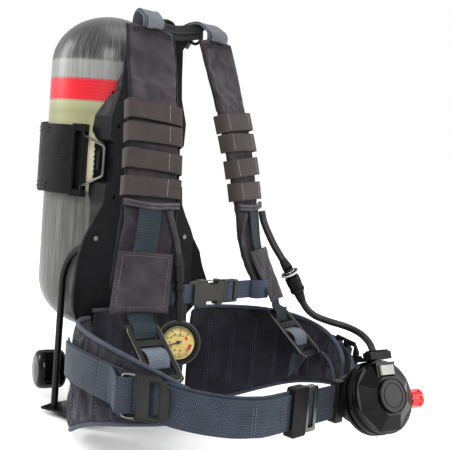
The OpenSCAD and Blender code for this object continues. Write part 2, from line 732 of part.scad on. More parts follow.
module regulator_housing() {
    color([0.04, 0.04, 0.045]) at_regulator() {
        difference() {
            union() {
                translate([0, 0, -9]) cylinder(r = 23, h = 12);
                translate([0, 0, 1]) cylinder(r = 36, h = 5);
                rotate_extrude() polygon([[0, 5], [40, 5], [40, 9], [reg_r, 11], [reg_r, 16], [41, 17.5], [41, 19.5],
                    [reg_r, 21], [reg_r, 26], [42, 27.5], [42, 32], [0, 32]]);
                // inlet stub for the hose, at the back
                rotate([0, 0, 35]) translate([34, 0, 12]) rotate([0, 130, 0]) cylinder(r = 8, h = 22);
                // boss that carries the purge knob
                translate([36, -6, 22]) rotate([0, 90, 0]) cylinder(r = 9, h = 14);
            }
            translate([0, 0, -10]) cylinder(r = 18, h = 34);
            translate([0, 0, 20]) cylinder(r = 37, h = 14);
            translate([30, -6, 22]) rotate([0, 90, 0]) cylinder(r = 4 + run, h = 30);
        }
    }
}

module regulator_cover() {
    z0 = 32;
    color([0.03, 0.03, 0.035]) at_regulator() difference() {
        union() {
            translate([0, 0, z0]) cylinder(r = reg_r - 1, h = 7);
            translate([0, 0, z0 + 7]) rotate([0, 0, 22.5]) cylinder(r1 = reg_r - 1.6, r2 = 25, h = 12, $fn = 8);
            translate([0, 0, z0 + 18]) cylinder(r = 21, h = reg_depth - 50);
            translate([-15, 12, z0 + 7]) cube([30, 29, 10]);
        }
        translate([0, 0, z0 - 1]) cylinder(r = 38, h = 8);
        translate([-10.2, 25, z0 + 12]) cube([20.4, 12.4, 20]);
    }
}

module regulator_diaphragm() {
    color([0.2, 0.2, 0.2]) at_regulator() translate([0, 0, 32]) {
        cylinder(r = 34, h = 2);
        cylinder(r = 12, h = 4);
    }
}

module saver_button() {
    color([0.6, 0.6, 0.58]) at_regulator() translate([-10, 25.2, 46]) cube([20, 12, 6]);
}

module regulator_latch() {
    color([0.06, 0.06, 0.065]) at_regulator() {
        translate([-17, reg_r + 0.4, 16]) cube([34, 4, 28]);
        translate([-17, reg_r + 4, 30]) cube([34, 6, 14]);
        for (x = [-17, 12]) translate([x, reg_r + 4.4, 19]) rotate([0, 90, 0]) cylinder(r = 4, h = 5);
    }
}

module purge_knob() {
    color([0.85, 0.08, 0.08]) at_regulator() translate([0, -6, 22]) rotate([0, 90, 0]) {
        translate([0, 0, 40]) cylinder(r = 4, h = 12);
        translate([0, 0, 51]) difference() {
            cylinder(r = 12, h = 19);
            for (a = [0:45:315]) rotate([0, 0, a]) translate([13, 0, -1]) cylinder(r = 2.6, h = 16);
        }
    }
}

// ---------- hoses ----------
module hose(points, steps, r, sides) {
    path = smooth(points, steps);
    side = [for (p = path) [0.9, 0.1, 0.42]];
    loft(rings(path, side, round_section(r, sides)));
}

gauge_route = [[-77, -139, 321], [-73, -143, 304], [-69, -147, 287], [-67, -151, 270], [-67, -155, 252]];
supply_route = [[118, -124, 321], [119, -129, 306], [121, -138, 290], [123, -149, 274], [126, -161, 259],
    [130, -172, 244]];
supply_route_low = [[148, -182, 209], [157, -187, 191], [172, -193, 177], [194, -204, 168], [209, -226, 163],
    [209, -252, 158], [196, -279, 150], [175, -301, 139], [152, -319, 127], [131, -331, 115]];

module gauge_hose() {
    color([0.05, 0.05, 0.055]) hose(gauge_route, 3, gauge_hose_d / 2, 10);
}

module supply_hose() {
    color([0.05, 0.05, 0.055]) {
        hose(supply_route, 3, supply_hose_d / 2, 10);
        hose(supply_route_low, 3, supply_hose_d / 2, 10);
    }
}

// quick connect, between the two stretches of supply hose
connect_from = [130, -172, 244];
connect_to = [148, -182, 209];
connect_dir = unit(connect_to - connect_from);
module at_connect() {
    translate(connect_from) rotate([0, acos(connect_dir[2]), atan2(connect_dir[1], connect_dir[0])]) children();
}

module connect_body() {
    color([0.08, 0.08, 0.085]) at_connect() {
        translate([0, 0, 0.2]) cylinder(r = 7, h = 6);
        translate([0, 0, 6]) cylinder(r = 12, h = 3);
        translate([0, 0, 9]) cylinder(r = 7, h = 20);
        translate([0, 0, 29]) cylinder(r = 10, h = 3);
        translate([0, 0, 32]) cylinder(r = 7, h = 8);
    }
}

module connect_sleeve() {
    color([0.12, 0.12, 0.125]) at_connect() translate([0, 0, 14]) difference() {
        union() {
            cylinder(r = 10, h = 14.6);
            for (z = [2:4:12]) translate([0, 0, z]) cylinder(r = 10.6, h = 1.6);
        }
        translate([0, 0, -1]) cylinder(r = 7 + run, h = 20);
    }
}

// ---------- gauge ----------
gauge_at = [-76, -174, 158];
gauge_r = 28;
module at_gauge() {
    // dial faces the wearer's right hand side, tipped up a little
    translate(gauge_at) rotate([80, 0, -40]) children();
}

module gauge_fitting() {
    top = [-67, -155, 252];
    low = gauge_at + [1, 1.5, 26];
    d = unit(low - top);
    color([0.12, 0.12, 0.12]) {
        bar(top + d * 0.2, top + d * 20, 6.4);
        bar(top + d * 20, top + d * 44, 5);
        bar(top + d * 26, top + d * 32, 7);
        bar(top + d * 44, low, 6.4);
    }
}

module gauge_boot() {
    color([0.07, 0.07, 0.07]) at_gauge() difference() {
        rotate_extrude() polygon([[0, -15], [22, -15], [gauge_r, -10], [gauge_r, 6], [26, 9], [23, 9], [23, -12], [0, -12]]);
    }
}

module gauge_case() {
    color([0.7, 0.7, 0.7]) at_gauge() difference() {
        translate([0, 0, -12 + 0.05]) cylinder(r = 22.9, h = 19);
        translate([0, 0, -10]) cylinder(r = 21, h = 20);
    }
}

module gauge_dial() {
    color([0.9, 0.8, 0.45]) at_gauge() translate([0, 0, -10]) difference() {
        cylinder(r = 20.9, h = 10);
        translate([0, 0, -1]) cylinder(r = 1 + run, h = 20);
    }
}

module gauge_needle() {
    color([0.05, 0.05, 0.05]) at_gauge() {
        translate([0, 0, -6]) cylinder(r = 1, h = 8);
        translate([0, 0, 1]) cylinder(r = 2.4, h = 1.2);
        rotate([0, 0, 200]) translate([-5, -0.7, 1]) cube([20, 1.4, 0.8]);
    }
}

module gauge_lens() {
    color([0.8, 0.9, 0.95, 0.3]) at_gauge() translate([0, 0, 4]) cylinder(r = 20.9, h = 2);
}

backplate();
guard_frame();
foot_bumper();
plate_rivets();
cylinder_saddles();
cylinder_band();
hook_rack();
latch_pin();
latch_lever();
latch_bail();
cylinder_wrap();
cylinder_liner();
neck_ring();
valve_body();
valve_guard();
valve_spindle();
handwheel();
reducer_body();
reducer_cap();
reducer_piston();
reducer_spring();
coupling_nut();
gauge_hose();
gauge_fitting();
gauge_boot();
gauge_case();
gauge_dial();
gauge_needle();
gauge_lens();
supply_hose();
connect_body();
connect_sleeve();
shoulder_pad_right();
shoulder_pad_left();
strap_loops();
strap_flaps();
shoulder_webbing();
shoulder_adjuster_right();
shoulder_adjuster_left();
yoke();
chest_strap();
chest_strap_lead();
chest_buckle_socket();
chest_buckle_plug();
lumbar_pad();
waist_wing_right();
waist_wing_left();
waist_webbing();
waist_belt_lead();
waist_adjuster_right();
waist_adjuster_left();
waist_buckle_socket();
waist_buckle_tongue();
regulator_holder();
regulator_housing();
regulator_cover();
regulator_diaphragm();
regulator_latch();
saver_button();
purge_knob();
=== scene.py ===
import math

import bpy
import numpy as np
from mathutils import Matrix, Vector


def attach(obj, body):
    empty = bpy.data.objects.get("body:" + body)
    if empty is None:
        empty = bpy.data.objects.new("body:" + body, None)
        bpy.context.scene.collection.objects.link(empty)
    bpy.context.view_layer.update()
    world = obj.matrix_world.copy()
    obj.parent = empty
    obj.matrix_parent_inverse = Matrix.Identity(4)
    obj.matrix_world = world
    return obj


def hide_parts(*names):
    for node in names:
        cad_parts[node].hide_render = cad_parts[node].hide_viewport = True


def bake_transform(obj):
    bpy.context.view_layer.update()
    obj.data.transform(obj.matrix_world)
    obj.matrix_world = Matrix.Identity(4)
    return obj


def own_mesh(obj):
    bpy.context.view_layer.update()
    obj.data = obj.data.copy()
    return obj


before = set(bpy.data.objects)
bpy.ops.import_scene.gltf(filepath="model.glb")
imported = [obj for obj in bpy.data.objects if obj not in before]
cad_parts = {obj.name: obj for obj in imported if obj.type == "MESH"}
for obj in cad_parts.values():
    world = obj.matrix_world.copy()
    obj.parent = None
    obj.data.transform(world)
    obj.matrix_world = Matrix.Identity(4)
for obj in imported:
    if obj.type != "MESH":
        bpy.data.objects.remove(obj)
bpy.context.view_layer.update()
scene = bpy.context.scene
MM = 0.001

# ---------- camera
az, el, roll = math.radians(-46), math.radians(4.8), math.radians(4.7)
back = Vector((math.sin(az) * math.cos(el), -math.cos(az) * math.cos(el), math.sin(el)))
right = Vector((math.cos(az), math.sin(az), 0))
up = back.cross(right)
right_r = right * math.cos(roll) + up * math.sin(roll)
up_r = -right * math.sin(roll) + up * math.cos(roll)
place = Vector((0.172, 0, 0.286)) + back * 1.335
cam_data = bpy.data.cameras.new("camera")
cam_data.sensor_width = 36
cam_data.lens = 66.4
cam = bpy.data.objects.new("camera", cam_data)
cam.matrix_world = Matrix(((right_r.x, up_r.x, back.x, place.x), (right_r.y, up_r.y, back.y, place.y),
                           (right_r.z, up_r.z, back.z, place.z), (0, 0, 0, 1)))
scene.collection.objects.link(cam)
scene.camera = cam


# ---------- small geometry helpers
def unit(v):
    v = np.asarray(v, float)
    return v / np.linalg.norm(v)


def smooth(points, n):
    p = [np.asarray(q, float) for q in points]
    out = []
    for i in range(len(p) - 1):
        a, b, c, d = p[max(i - 1, 0)], p[i], p[i + 1], p[min(i + 2, len(p) - 1)]
        for k in range(n):
            t = k / n
            out.append(0.5 * (2 * b + (c - a) * t + (2 * a - 5 * b + 4 * c - d) * t * t
                              + (3 * b - a - 3 * c + d) * t ** 3))
    out.append(p[-1])
    return np.array(out)


def run_length(path):
    """Distance from the start at every point of a path."""
    return np.concatenate([[0], np.cumsum(np.linalg.norm(np.diff(path, axis=0), axis=1))])


def even(path, step):
    """The same curve with points at equal spacing."""
    path = np.asarray(path, float)
    s = run_length(path)
    n = max(2, int(round(s[-1] / step)) + 1)
    t = np.linspace(0, s[-1], n)
    return np.stack([np.interp(t, s, path[:, k]) for k in range(path.shape[1])], 1)


def rx(a):
    c, s = math.cos(math.radians(a)), math.sin(math.radians(a))
    return np.array([[1, 0, 0], [0, c, -s], [0, s, c]])


def rz(a):
    c, s = math.cos(math.radians(a)), math.sin(math.radians(a))
    return np.array([[c, -s, 0], [s, c, 0], [0, 0, 1]])


def path_frames(path, side):
    path = np.asarray(path, float)
    side = np.asarray(side, float)
    if side.ndim == 1:
        side = np.tile(side, (len(path), 1))
    tan = np.gradient(path, axis=0)
    tan /= np.linalg.norm(tan, axis=1)[:, None]
    across = side - tan * np.sum(side * tan, axis=1)[:, None]
    across /= np.linalg.norm(across, axis=1)[:, None]
    return tan, across, np.cross(tan, across)


# ---------- meshes
def add_mesh(name, verts, faces, material, body="frame", uv=None, smooth_faces=True, sharp=None):
    """verts in mm. uv: one (u, v) pair for each face corner, in metres."""
    me = bpy.data.meshes.new(name)
    me.from_pydata([tuple(v) for v in np.asarray(verts, float) * MM], [], [tuple(f) for f in faces])
    me.validate()
    if uv is not None:
        layer = me.uv_layers.new(name="UVMap")
        layer.data.foreach_set("uv", np.asarray(uv, np.float32).reshape(-1))
    me.materials.append(material)
    if smooth_faces:
        me.polygons.foreach_set("use_smooth", [True] * len(me.polygons))
        if sharp is not None:
            me.set_sharp_from_angle(angle=math.radians(sharp))
    ob = bpy.data.objects.new(name, me)
    scene.collection.objects.link(ob)
    if body:
        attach(ob, body)
    return ob


def grid_parts(grid, closed, cap):
    """Faces and corner uv of a grid (rows, columns, 3) in mm; closed joins the last column to the first."""
    n, m = grid.shape[:2]
    along = np.concatenate([[0], np.cumsum(np.linalg.norm(np.diff(grid, axis=0), axis=2).mean(1))])
    ring = np.linalg.norm(np.diff(np.concatenate([grid, grid[:, :1]], 1), axis=1), axis=2).mean(0)
    around = np.concatenate([[0], np.cumsum(ring)])
    faces, uv = [], []
    cols = m if closed else m - 1
    for i in range(n - 1):
        for k in range(cols):
            k2 = (k + 1) % m
            faces.append((i * m + k, (i + 1) * m + k, (i + 1) * m + k2, i * m + k2))
            uv += [(around[k], along[i]), (around[k], along[i + 1]), (around[k + 1], along[i + 1]),
                   (around[k + 1], along[i])]
    if closed and cap:
        faces.append(tuple(range(m)))
        uv += [(around[k], 0) for k in range(m)]
        faces.append(tuple((n - 1) * m + k for k in range(m - 1, -1, -1)))
        uv += [(around[k], along[-1]) for k in range(m - 1, -1, -1)]
    return faces, np.array(uv) * MM


def grid_mesh(name, grid, material, body="frame", closed=True, cap=True, **kw):
    faces, uv = grid_parts(np.asarray(grid, float), closed, cap)
    return add_mesh(name, np.asarray(grid, float).reshape(-1, 3), faces, material, body, uv, **kw)


def join_grids(name, grids, material, body="frame", closed=True, cap=True, **kw):
    verts, faces, uv, base = [], [], [], 0
    for g in grids:
        g = np.asarray(g, float)
        f, u = grid_parts(g, closed, cap)
        faces += [tuple(base + i for i in q) for q in f]
        uv.append(u)
        verts.append(g.reshape(-1, 3))
        base += g.shape[0] * g.shape[1]
    return add_mesh(name, np.concatenate(verts), faces, material, body, np.concatenate(uv), **kw)


def strap_section(w, t, ribs=0, depth=0.25, n=28):
    """Outline (u, v) of woven webbing: rounded selvedges and, if asked, fine lengthwise ribs."""
    u = np.linspace(-w / 2 + t * 0.4, w / 2 - t * 0.4, n)
    h = np.full(n, t / 2)
    if ribs:
        h = h + depth * (0.5 + 0.5 * np.cos(2 * np.pi * ribs * (u / w))) - depth
    front = np.stack([u, h], 1)
    arc_a = np.array([[w / 2 - t * 0.08, t * 0.36], [w / 2, 0], [w / 2 - t * 0.08, -t * 0.36]])
    rear = np.stack([u[::-1], -h[::-1]], 1)
    arc_b = np.array([[-w / 2 + t * 0.08, -t * 0.36], [-w / 2, 0], [-w / 2 + t * 0.08, t * 0.36]])
    return np.concatenate([front, arc_a, rear, arc_b])[::-1]


def ribbon_grid(path, side, w, t, step=3.0, ribs=0, depth=0.25, n=28):
    path = np.asarray(path, float)
    if np.asarray(side).ndim == 2:
        both = even(np.concatenate([path, np.asarray(side, float)], 1), step)
        path, side = both[:, :3], both[:, 3:]
    else:
        path = even(path, step)
    tan, a, nrm = path_frames(path, side)
    sec = strap_section(w, t, ribs, depth, n)
    grid = np.empty((len(path), len(sec), 3))
    for i in range(len(path)):
        grid[i] = path[i] + np.outer(sec[:, 0], a[i]) + np.outer(sec[:, 1], nrm[i])
    return grid


def tube_grid(path, r, side=(0.31, 0.24, 0.92), step=3.0, n=14, radius_at=None):
    path = even(path, step)
    tan, a, b = path_frames(path, np.asarray(side, float))
    ang = np.linspace(0, 2 * np.pi, n, endpoint=False)
    grid = np.empty((len(path), n, 3))
    for i in range(len(path)):
        q = r if radius_at is None else radius_at(i / (len(path) - 1))
        grid[i] = path[i] + q * (np.outer(np.cos(ang), a[i]) + np.outer(np.sin(ang), b[i]))
    return grid


def stitch_grids(path, nrm, length=2.6, space=1.5, r=0.38, lift=0.1):
    """Little raised threads along a path; nrm points out of the cloth."""
    path = np.asarray(path, float)
    nrm = np.asarray(nrm, float)
    if nrm.ndim == 1:
        nrm = np.tile(nrm, (len(path), 1))
    both = even(np.concatenate([path, nrm], 1), 0.5)
    per = np.linalg.norm(both[1, :3] - both[0, :3])
    total = (len(both) - 1) * per
    out = []
    s = space
    prof = [(0.0, -0.55, 0.45), (0.14, 0.1, 0.95), (0.5, 0.35, 1.0), (0.86, 0.1, 0.95), (1.0, -0.55, 0.45)]
    five = np.linspace(0, 2 * np.pi, 5, endpoint=False)
    while s + length < total:
        i0, i1 = int(s / per), min(int((s + length) / per), len(both) - 1)
        p0, p1 = both[i0, :3], both[i1, :3]
        n0 = unit(both[i0, 3:] + both[i1, 3:])
        d = p1 - p0
        if np.linalg.norm(d) > 0.3:
            x = unit(np.cross(d, n0))
            rings = []
            for t, h, q in prof:
                c = p0 + d * t + n0 * (lift + h * r)
                rings.append([c + q * r * (x * math.cos(b) + n0 * math.sin(b)) for b in five])
            out.append(np.array(rings))
        s += length + space
    return out


# ---------- materials
class Mat:
    """A small builder for node materials."""

    def __init__(self, name, **principled):
        self.m = bpy.data.materials.new(name)
        self.m.use_nodes = True
        self.t = self.m.node_tree
        self.p = self.t.nodes["Principled BSDF"]
        for key, value in principled.items():
            self.p.inputs[key.replace("_", " ")].default_value = value

    def n(self, kind, **kw):
        node = self.t.nodes.new("ShaderNode" + kind)
        for key, value in kw.items():
            setattr(node, key, value)
        return node

    def link(self, a, b):
        self.t.links.new(a, b)

    def math(self, op, a, b=None, c=None):
        node = self.n("Math", operation=op)
        for i, v in enumerate((a, b, c)):
            if v is None:
                continue
            if isinstance(v, (int, float)):
                node.inputs[i].default_value = v
            else:
                self.link(v, node.inputs[i])
        return node.outputs[0]

    def mul(self, a, b):
        return self.math("MULTIPLY", a, b)

    def add(self, a, b):
        return self.math("ADD", a, b)

    def sub(self, a, b):
        return self.math("SUBTRACT", a, b)

    def coord(self, which="Object"):
        return self.n("TexCoord").outputs[which]

    def split(self, v):
        node = self.n("SeparateXYZ")
        self.link(v, node.inputs[0])
        return node.outputs

    def scaled(self, v, s):
        node = self.n("Mapping")
        node.inputs["Scale"].default_value = s
        self.link(v, node.inputs["Vector"])
        return node.outputs[0]

    def noise(self, v, scale, detail=3.0, rough=0.55, s=(1, 1, 1)):
        node = self.n("TexNoise")
        node.inputs["Scale"].default_value = scale
        node.inputs["Detail"].default_value = detail
        node.inputs["Roughness"].default_value = rough
        self.link(self.scaled(v, s) if s != (1, 1, 1) else v, node.inputs["Vector"])
        return node.outputs["Fac"]

    def ramp(self, fac, stops):
        node = self.n("ValToRGB")
        r = node.color_ramp
        while len(r.elements) < len(stops):
            r.elements.new(0.5)
        for e, (pos, col) in zip(r.elements, stops):
            e.position = pos
            e.color = (*col, 1) if len(col) == 3 else col
        self.link(fac, node.inputs[0])
        return node.outputs[0]

    def mix(self, fac, a, b, blend="MIX"):
        node = self.n("Mix", data_type="RGBA", blend_type=blend)
        if isinstance(fac, (int, float)):
            node.inputs[0].default_value = fac
        else:
            self.link(fac, node.inputs[0])
        for i, v in ((6, a), (7, b)):
            if isinstance(v, tuple):
                node.inputs[i].default_value = (*v, 1) if len(v) == 3 else v
            else:
                self.link(v, node.inputs[i])
        return node.outputs[2]

    def color(self, v):
        self.link(v, self.p.inputs["Base Color"])

    def rough(self, v):
        self.link(v, self.p.inputs["Roughness"])

    def bump(self, height, distance, strength=1.0, normal=None):
        node = self.n("Bump")
        node.inputs["Distance"].default_value = distance
        node.inputs["Strength"].default_value = strength
        self.link(height, node.inputs["Height"])
        if normal is not None:
            self.link(normal, node.inputs["Normal"])
        self.link(node.outputs[0], self.p.inputs["Normal"])
        return node.outputs[0]

    def bevel(self, r):
        node = self.n("Bevel", samples=4)
        node.inputs["Radius"].default_value = r
        self.link(node.outputs[0], self.p.inputs["Normal"])
        return node.outputs[0]


BLACK = (0, 0, 0)
WHITE = (1, 1, 1)


def wave(m, x, period, sharp=1.0):
    """0..1 wave along a coordinate in metres."""
    s = m.math("SINE", m.mul(x, 2 * math.pi / period))
    v = m.math("MULTIPLY_ADD", s, 0.5, 0.5)
    return v if sharp == 1.0 else m.math("POWER", v, sharp)


def between(m, x, z0, z1, z2, z3):
    """1 from z1 to z2, 0 below z0 and above z3, straight slopes between."""
    return m.ramp(x, [(z0, BLACK), (z1, WHITE), (z2, WHITE), (z3, BLACK)])


def solid(name, color, rough=0.5, metal=0.0, bevel=0.0004, grain=0.0, grain_scale=1500, vary=0.15, coat=0.0,
          brushed=None, wear=0.0, spec=0.5):
    """Moulded or machined surface: fine grain, slow tone changes and softened edges."""
    m = Mat(name, Metallic=metal, Roughness=rough)
    m.p.inputs["Specular IOR Level"].default_value = spec
    if coat:
        m.p.inputs["Coat Weight"].default_value = coat
        m.p.inputs["Coat Roughness"].default_value = 0.08
    v = m.coord()
    slow = m.noise(v, 38, 4)
    dark = tuple(c * (1 - vary) for c in color)
    light = tuple(min(1, c * (1 + vary)) for c in color)
    col = m.ramp(slow, [(0.3, dark), (0.7, light)])
    if wear:
        spots = m.ramp(m.noise(v, 220, 6, 0.7), [(0.60, (0, 0, 0)), (0.68, (wear, wear, wear))])
        col = m.mix(0.5, col, spots, "ADD")
    m.color(col)
    rr = m.ramp(m.noise(v, 90, 5), [(0.3, (rough * 0.8,) * 3), (0.7, (min(1, rough * 1.2),) * 3)])
    m.rough(rr)
    normal = m.bevel(bevel) if bevel else None
    if brushed:
        m.bump(m.noise(v, 900, 2, s=brushed), 0.00006, 0.5, normal)
    elif grain:
        m.bump(m.noise(v, grain_scale, 2), grain, 0.6, normal)
    return m.m


def fabric(name, color, light, pitch=0.0011, depth=0.00022, sheen=0.12):
    """Coated twill in the mesh's own uv: diagonal ribs, sheen, faded high spots, and creases with painted
    shade along their lines.
    """
    m = Mat(name, Roughness=0.85)
    m.p.inputs["Sheen Weight"].default_value = sheen
    m.p.inputs["Sheen Roughness"].default_value = 0.45
    m.p.inputs["Specular IOR Level"].default_value = 0.22
    uv = m.split(m.coord("UV"))
    obj = m.coord()
    warp = m.mul(m.noise(obj, 60, 2), 0.0012)
    diag = m.add(m.add(uv[0], m.mul(uv[1], 0.62)), warp)
    cross = m.sub(m.mul(uv[0], 0.62), uv[1])
    w1 = wave(m, diag, pitch)
    w2 = wave(m, cross, pitch * 0.8)
    h = m.add(m.mul(w1, 0.7), m.mul(w2, 0.3))
    fuzz = m.noise(obj, 2600, 2)
    h2 = m.add(h, m.mul(fuzz, 0.4))
    broad = m.noise(obj, 26, 5, 0.6)
    fold = m.math("ABSOLUTE", m.sub(m.noise(obj, 15, 3, 0.5, s=(1.0, 1.0, 0.55)), 0.5))
    crease_height_and_shade = m.math("MINIMUM", m.mul(fold, 7.0), 1.0)
    tone = m.add(m.mul(broad, 0.55), m.mul(h2, 0.32))
    # painted shade: the tone is lowered along the creases' lines so they read darker, as if shadowed; the
    # same field is also the bump height below
    tone = m.add(tone, m.mul(crease_height_and_shade, 0.12))
    m.color(m.ramp(tone, [(0.28, tuple(c * 0.62 for c in color)), (0.52, color), (0.82, light)]))
    folds = m.n("Bump")
    folds.inputs["Distance"].default_value = 0.0035
    folds.inputs["Strength"].default_value = 0.55
    m.link(crease_height_and_shade, folds.inputs["Height"])
    m.bump(h2, depth, 0.8, folds.outputs[0])
    return m.m


def webbing(name, color, light, rib=0.0019, rows=0.0016, depth=0.0004, dots=0.0, sheen=0.08):
    """Woven strap: ribs across it, rows along it, in the ribbon's own coordinates."""
    m = Mat(name, Roughness=0.7)
    m.p.inputs["Sheen Weight"].default_value = sheen
    m.p.inputs["Specular IOR Level"].default_value = 0.35
    uv = m.split(m.coord("UV"))
    obj = m.coord()
    rib_w = wave(m, uv[1], rib)
    row_w = wave(m, uv[0], rows)
    shift = m.mul(m.math("ROUND", m.math("DIVIDE", uv[0], rows)), rib * 0.5)
    stag = wave(m, m.add(uv[1], shift), rib)
    h = m.add(m.mul(stag, 0.6), m.mul(row_w, 0.4))
    h = m.add(m.mul(h, 0.8), m.mul(rib_w, 0.25))
    fuzz = m.noise(obj, 3000, 2)
    tone = m.add(m.mul(h, 0.75), m.mul(fuzz, 0.3))
    broad = m.noise(obj, 45, 4)
    tone = m.add(tone, m.mul(m.sub(broad, 0.5), 0.4))
    col = m.ramp(tone, [(0.25, tuple(c * 0.45 for c in color)), (0.6, color), (0.95, light)])
    if dots:
        d = m.mul(m.math("POWER", stag, 4.0), m.math("POWER", row_w, 3.0))
        col = m.mix(m.mul(d, dots), col, tuple(min(1, c * 2.2) for c in light))
    m.color(col)
    m.bump(m.add(h, m.mul(fuzz, 0.2)), depth, 0.85)
    return m.m


mat_pad = fabric("twill", (0.036, 0.031, 0.036), (0.088, 0.077, 0.085))
mat_pad_dark = fabric("twill_dark", (0.013, 0.012, 0.016), (0.034, 0.031, 0.038))
mat_wing = fabric("twill_wing", (0.020, 0.019, 0.026), (0.056, 0.053, 0.066))
mat_hem = fabric("twill_hem", (0.060, 0.056, 0.061), (0.145, 0.137, 0.147))
mat_bind = webbing("binding", (0.042, 0.052, 0.075), (0.13, 0.15, 0.2), rib=0.0013, rows=0.0013, depth=0.0002)
mat_loop = webbing("loop_webbing", (0.040, 0.031, 0.030), (0.092, 0.073, 0.070), rib=0.0012, rows=0.0011,
                   depth=0.0002)
mat_teal = webbing("strap_webbing", (0.013, 0.024, 0.030), (0.048, 0.075, 0.090), rib=0.0034, rows=0.0016)
mat_grey_web = webbing("hanger_webbing", (0.10, 0.105, 0.118), (0.27, 0.285, 0.31), rib=0.0024, rows=0.0016)
mat_black_web = webbing("yoke_webbing", (0.011, 0.011, 0.012), (0.038, 0.038, 0.041), rib=0.0024, rows=0.0016)
mat_belt = webbing("belt_webbing", (0.021, 0.029, 0.043), (0.085, 0.106, 0.140), rib=0.0026, rows=0.0022,
                   dots=0.45, depth=0.0006)
mat_chest = webbing("chest_webbing", (0.024, 0.033, 0.055), (0.115, 0.150, 0.215), rib=0.0024, rows=0.002,
                    dots=0.6, depth=0.0005)
mat_loop_grey = webbing("loop_grey", (0.11, 0.13, 0.16), (0.30, 0.33, 0.38), rib=0.0026, rows=0.0018)
mat_thread = solid("thread", (0.30, 0.285, 0.285), 0.8, bevel=0)
mat_thread_dark = solid("thread_dark", (0.16, 0.155, 0.17), 0.8, bevel=0)
mat_thread_blue = solid("thread_blue", (0.10, 0.12, 0.17), 0.8, bevel=0)

mat_plate = solid("plate_paint", (0.011, 0.0112, 0.0125), 0.50, 0.0, 0.0006, 0.00009, 2200, 0.25, spec=0.16)
mat_rod = solid("rod_paint", (0.005, 0.005, 0.0055), 0.25, 0.0, 0.0005, coat=0.12, vary=0.1, spec=0.3)
mat_rubber = solid("rubber", (0.014, 0.014, 0.0147), 0.62, 0.0, 0.0006, 0.0001, 1200, spec=0.3)
mat_steel = solid("bright_steel", (0.60, 0.59, 0.57), 0.26, 1.0, 0.0003, brushed=(1, 1, 20), vary=0.08)
mat_dark_steel = solid("dark_steel", (0.030, 0.0295, 0.029), 0.36, 0.5, 0.0012, brushed=(1, 1, 14),
                       vary=0.2, wear=0.03, spec=0.35)
mat_mid_steel = solid("mid_steel", (0.20, 0.197, 0.19), 0.32, 0.95, 0.0008, brushed=(1, 1, 14), vary=0.15,
                      wear=0.04)
mat_alu = solid("valve_metal", (0.50, 0.50, 0.48), 0.34, 1.0, 0.0005, brushed=(1, 1, 8), vary=0.1)
mat_brass = solid("brass", (0.60, 0.44, 0.18), 0.3, 1.0, 0.0004)
mat_mould = solid("black_moulding", (0.0095, 0.0097, 0.0102), 0.4, 0.0, 0.0008, 0.00007, 1800, 0.2, spec=0.2)
mat_mould_grey = solid("grey_moulding", (0.040, 0.039, 0.036), 0.42, 0.0, 0.0009, 0.00005, 1800, 0.15,
                       spec=0.35)
mat_gloss = solid("gloss_black", (0.003, 0.003, 0.0032), 0.22, 0.0, 0.0008, coat=0.1, vary=0.1, spec=0.2)
mat_gloss_flat = solid("satin_black", (0.005, 0.005, 0.0053), 0.38, 0.0, 0.0008, 0.00004, 2200, spec=0.2)
mat_button = solid("grey_button", (0.30, 0.30, 0.29), 0.5, 0.0, 0.0008, 0.00004, 1500)
mat_red = solid("red_knob", (0.62, 0.012, 0.01), 0.28, 0.0, 0.0009, coat=0.4, vary=0.12)
mat_band = webbing("band_webbing", (0.030, 0.026, 0.024), (0.082, 0.070, 0.063), rib=0.002, rows=0.0016)
mat_clear = solid("clear_ring", (0.82, 0.84, 0.84), 0.12, 0.0, 0.0005, vary=0.05)
mat_clear.node_tree.nodes["Principled BSDF"].inputs["Transmission Weight"].default_value = 0.45
mat_liner = solid("liner", (0.6, 0.6, 0.6), 0.4, 1.0, 0)

# hose: matt rubber, slow tone changes and a fine grain
m = Mat("hose_rubber", Roughness=0.48)
v = m.coord()
m.color(m.ramp(m.noise(v, 120, 4), [(0.3, (0.009, 0.009, 0.0094)), (0.75, (0.021, 0.021, 0.022))]))
m.bump(m.noise(v, 900, 3), 0.00012, 0.5)
mat_hose = m.m

# dial face: cream yellow with slow tone changes
m = Mat("dial_face", Roughness=0.42)
v = m.coord()
m.color(m.ramp(m.noise(v, 60, 3), [(0.3, (0.72, 0.55, 0.16)), (0.7, (0.80, 0.66, 0.26))]))
mat_dial = m.m
mat_dial_ink = solid("dial_ink", (0.012, 0.012, 0.012), 0.5, bevel=0)
mat_dial_green = solid("dial_green", (0.01, 0.22, 0.04), 0.5, bevel=0)
mat_dial_red = solid("dial_red", (0.62, 0.03, 0.012), 0.5, bevel=0)

# lens: clear window that lets the dial show and catches a highlight
m = Mat("lens")
t = m.n("BsdfTransparent")
g = m.n("BsdfGlossy")
g.inputs["Roughness"].default_value = 0.04
fres = m.n("Fresnel")
fres.inputs["IOR"].default_value = 1.45
mixer = m.n("MixShader")
m.link(fres.outputs[0], mixer.inputs[0])
m.link(t.outputs[0], mixer.inputs[1])
m.link(g.outputs[0], mixer.inputs[2])
m.link(mixer.outputs[0], m.t.nodes["Material Output"].inputs["Surface"])
mat_lens = m.m

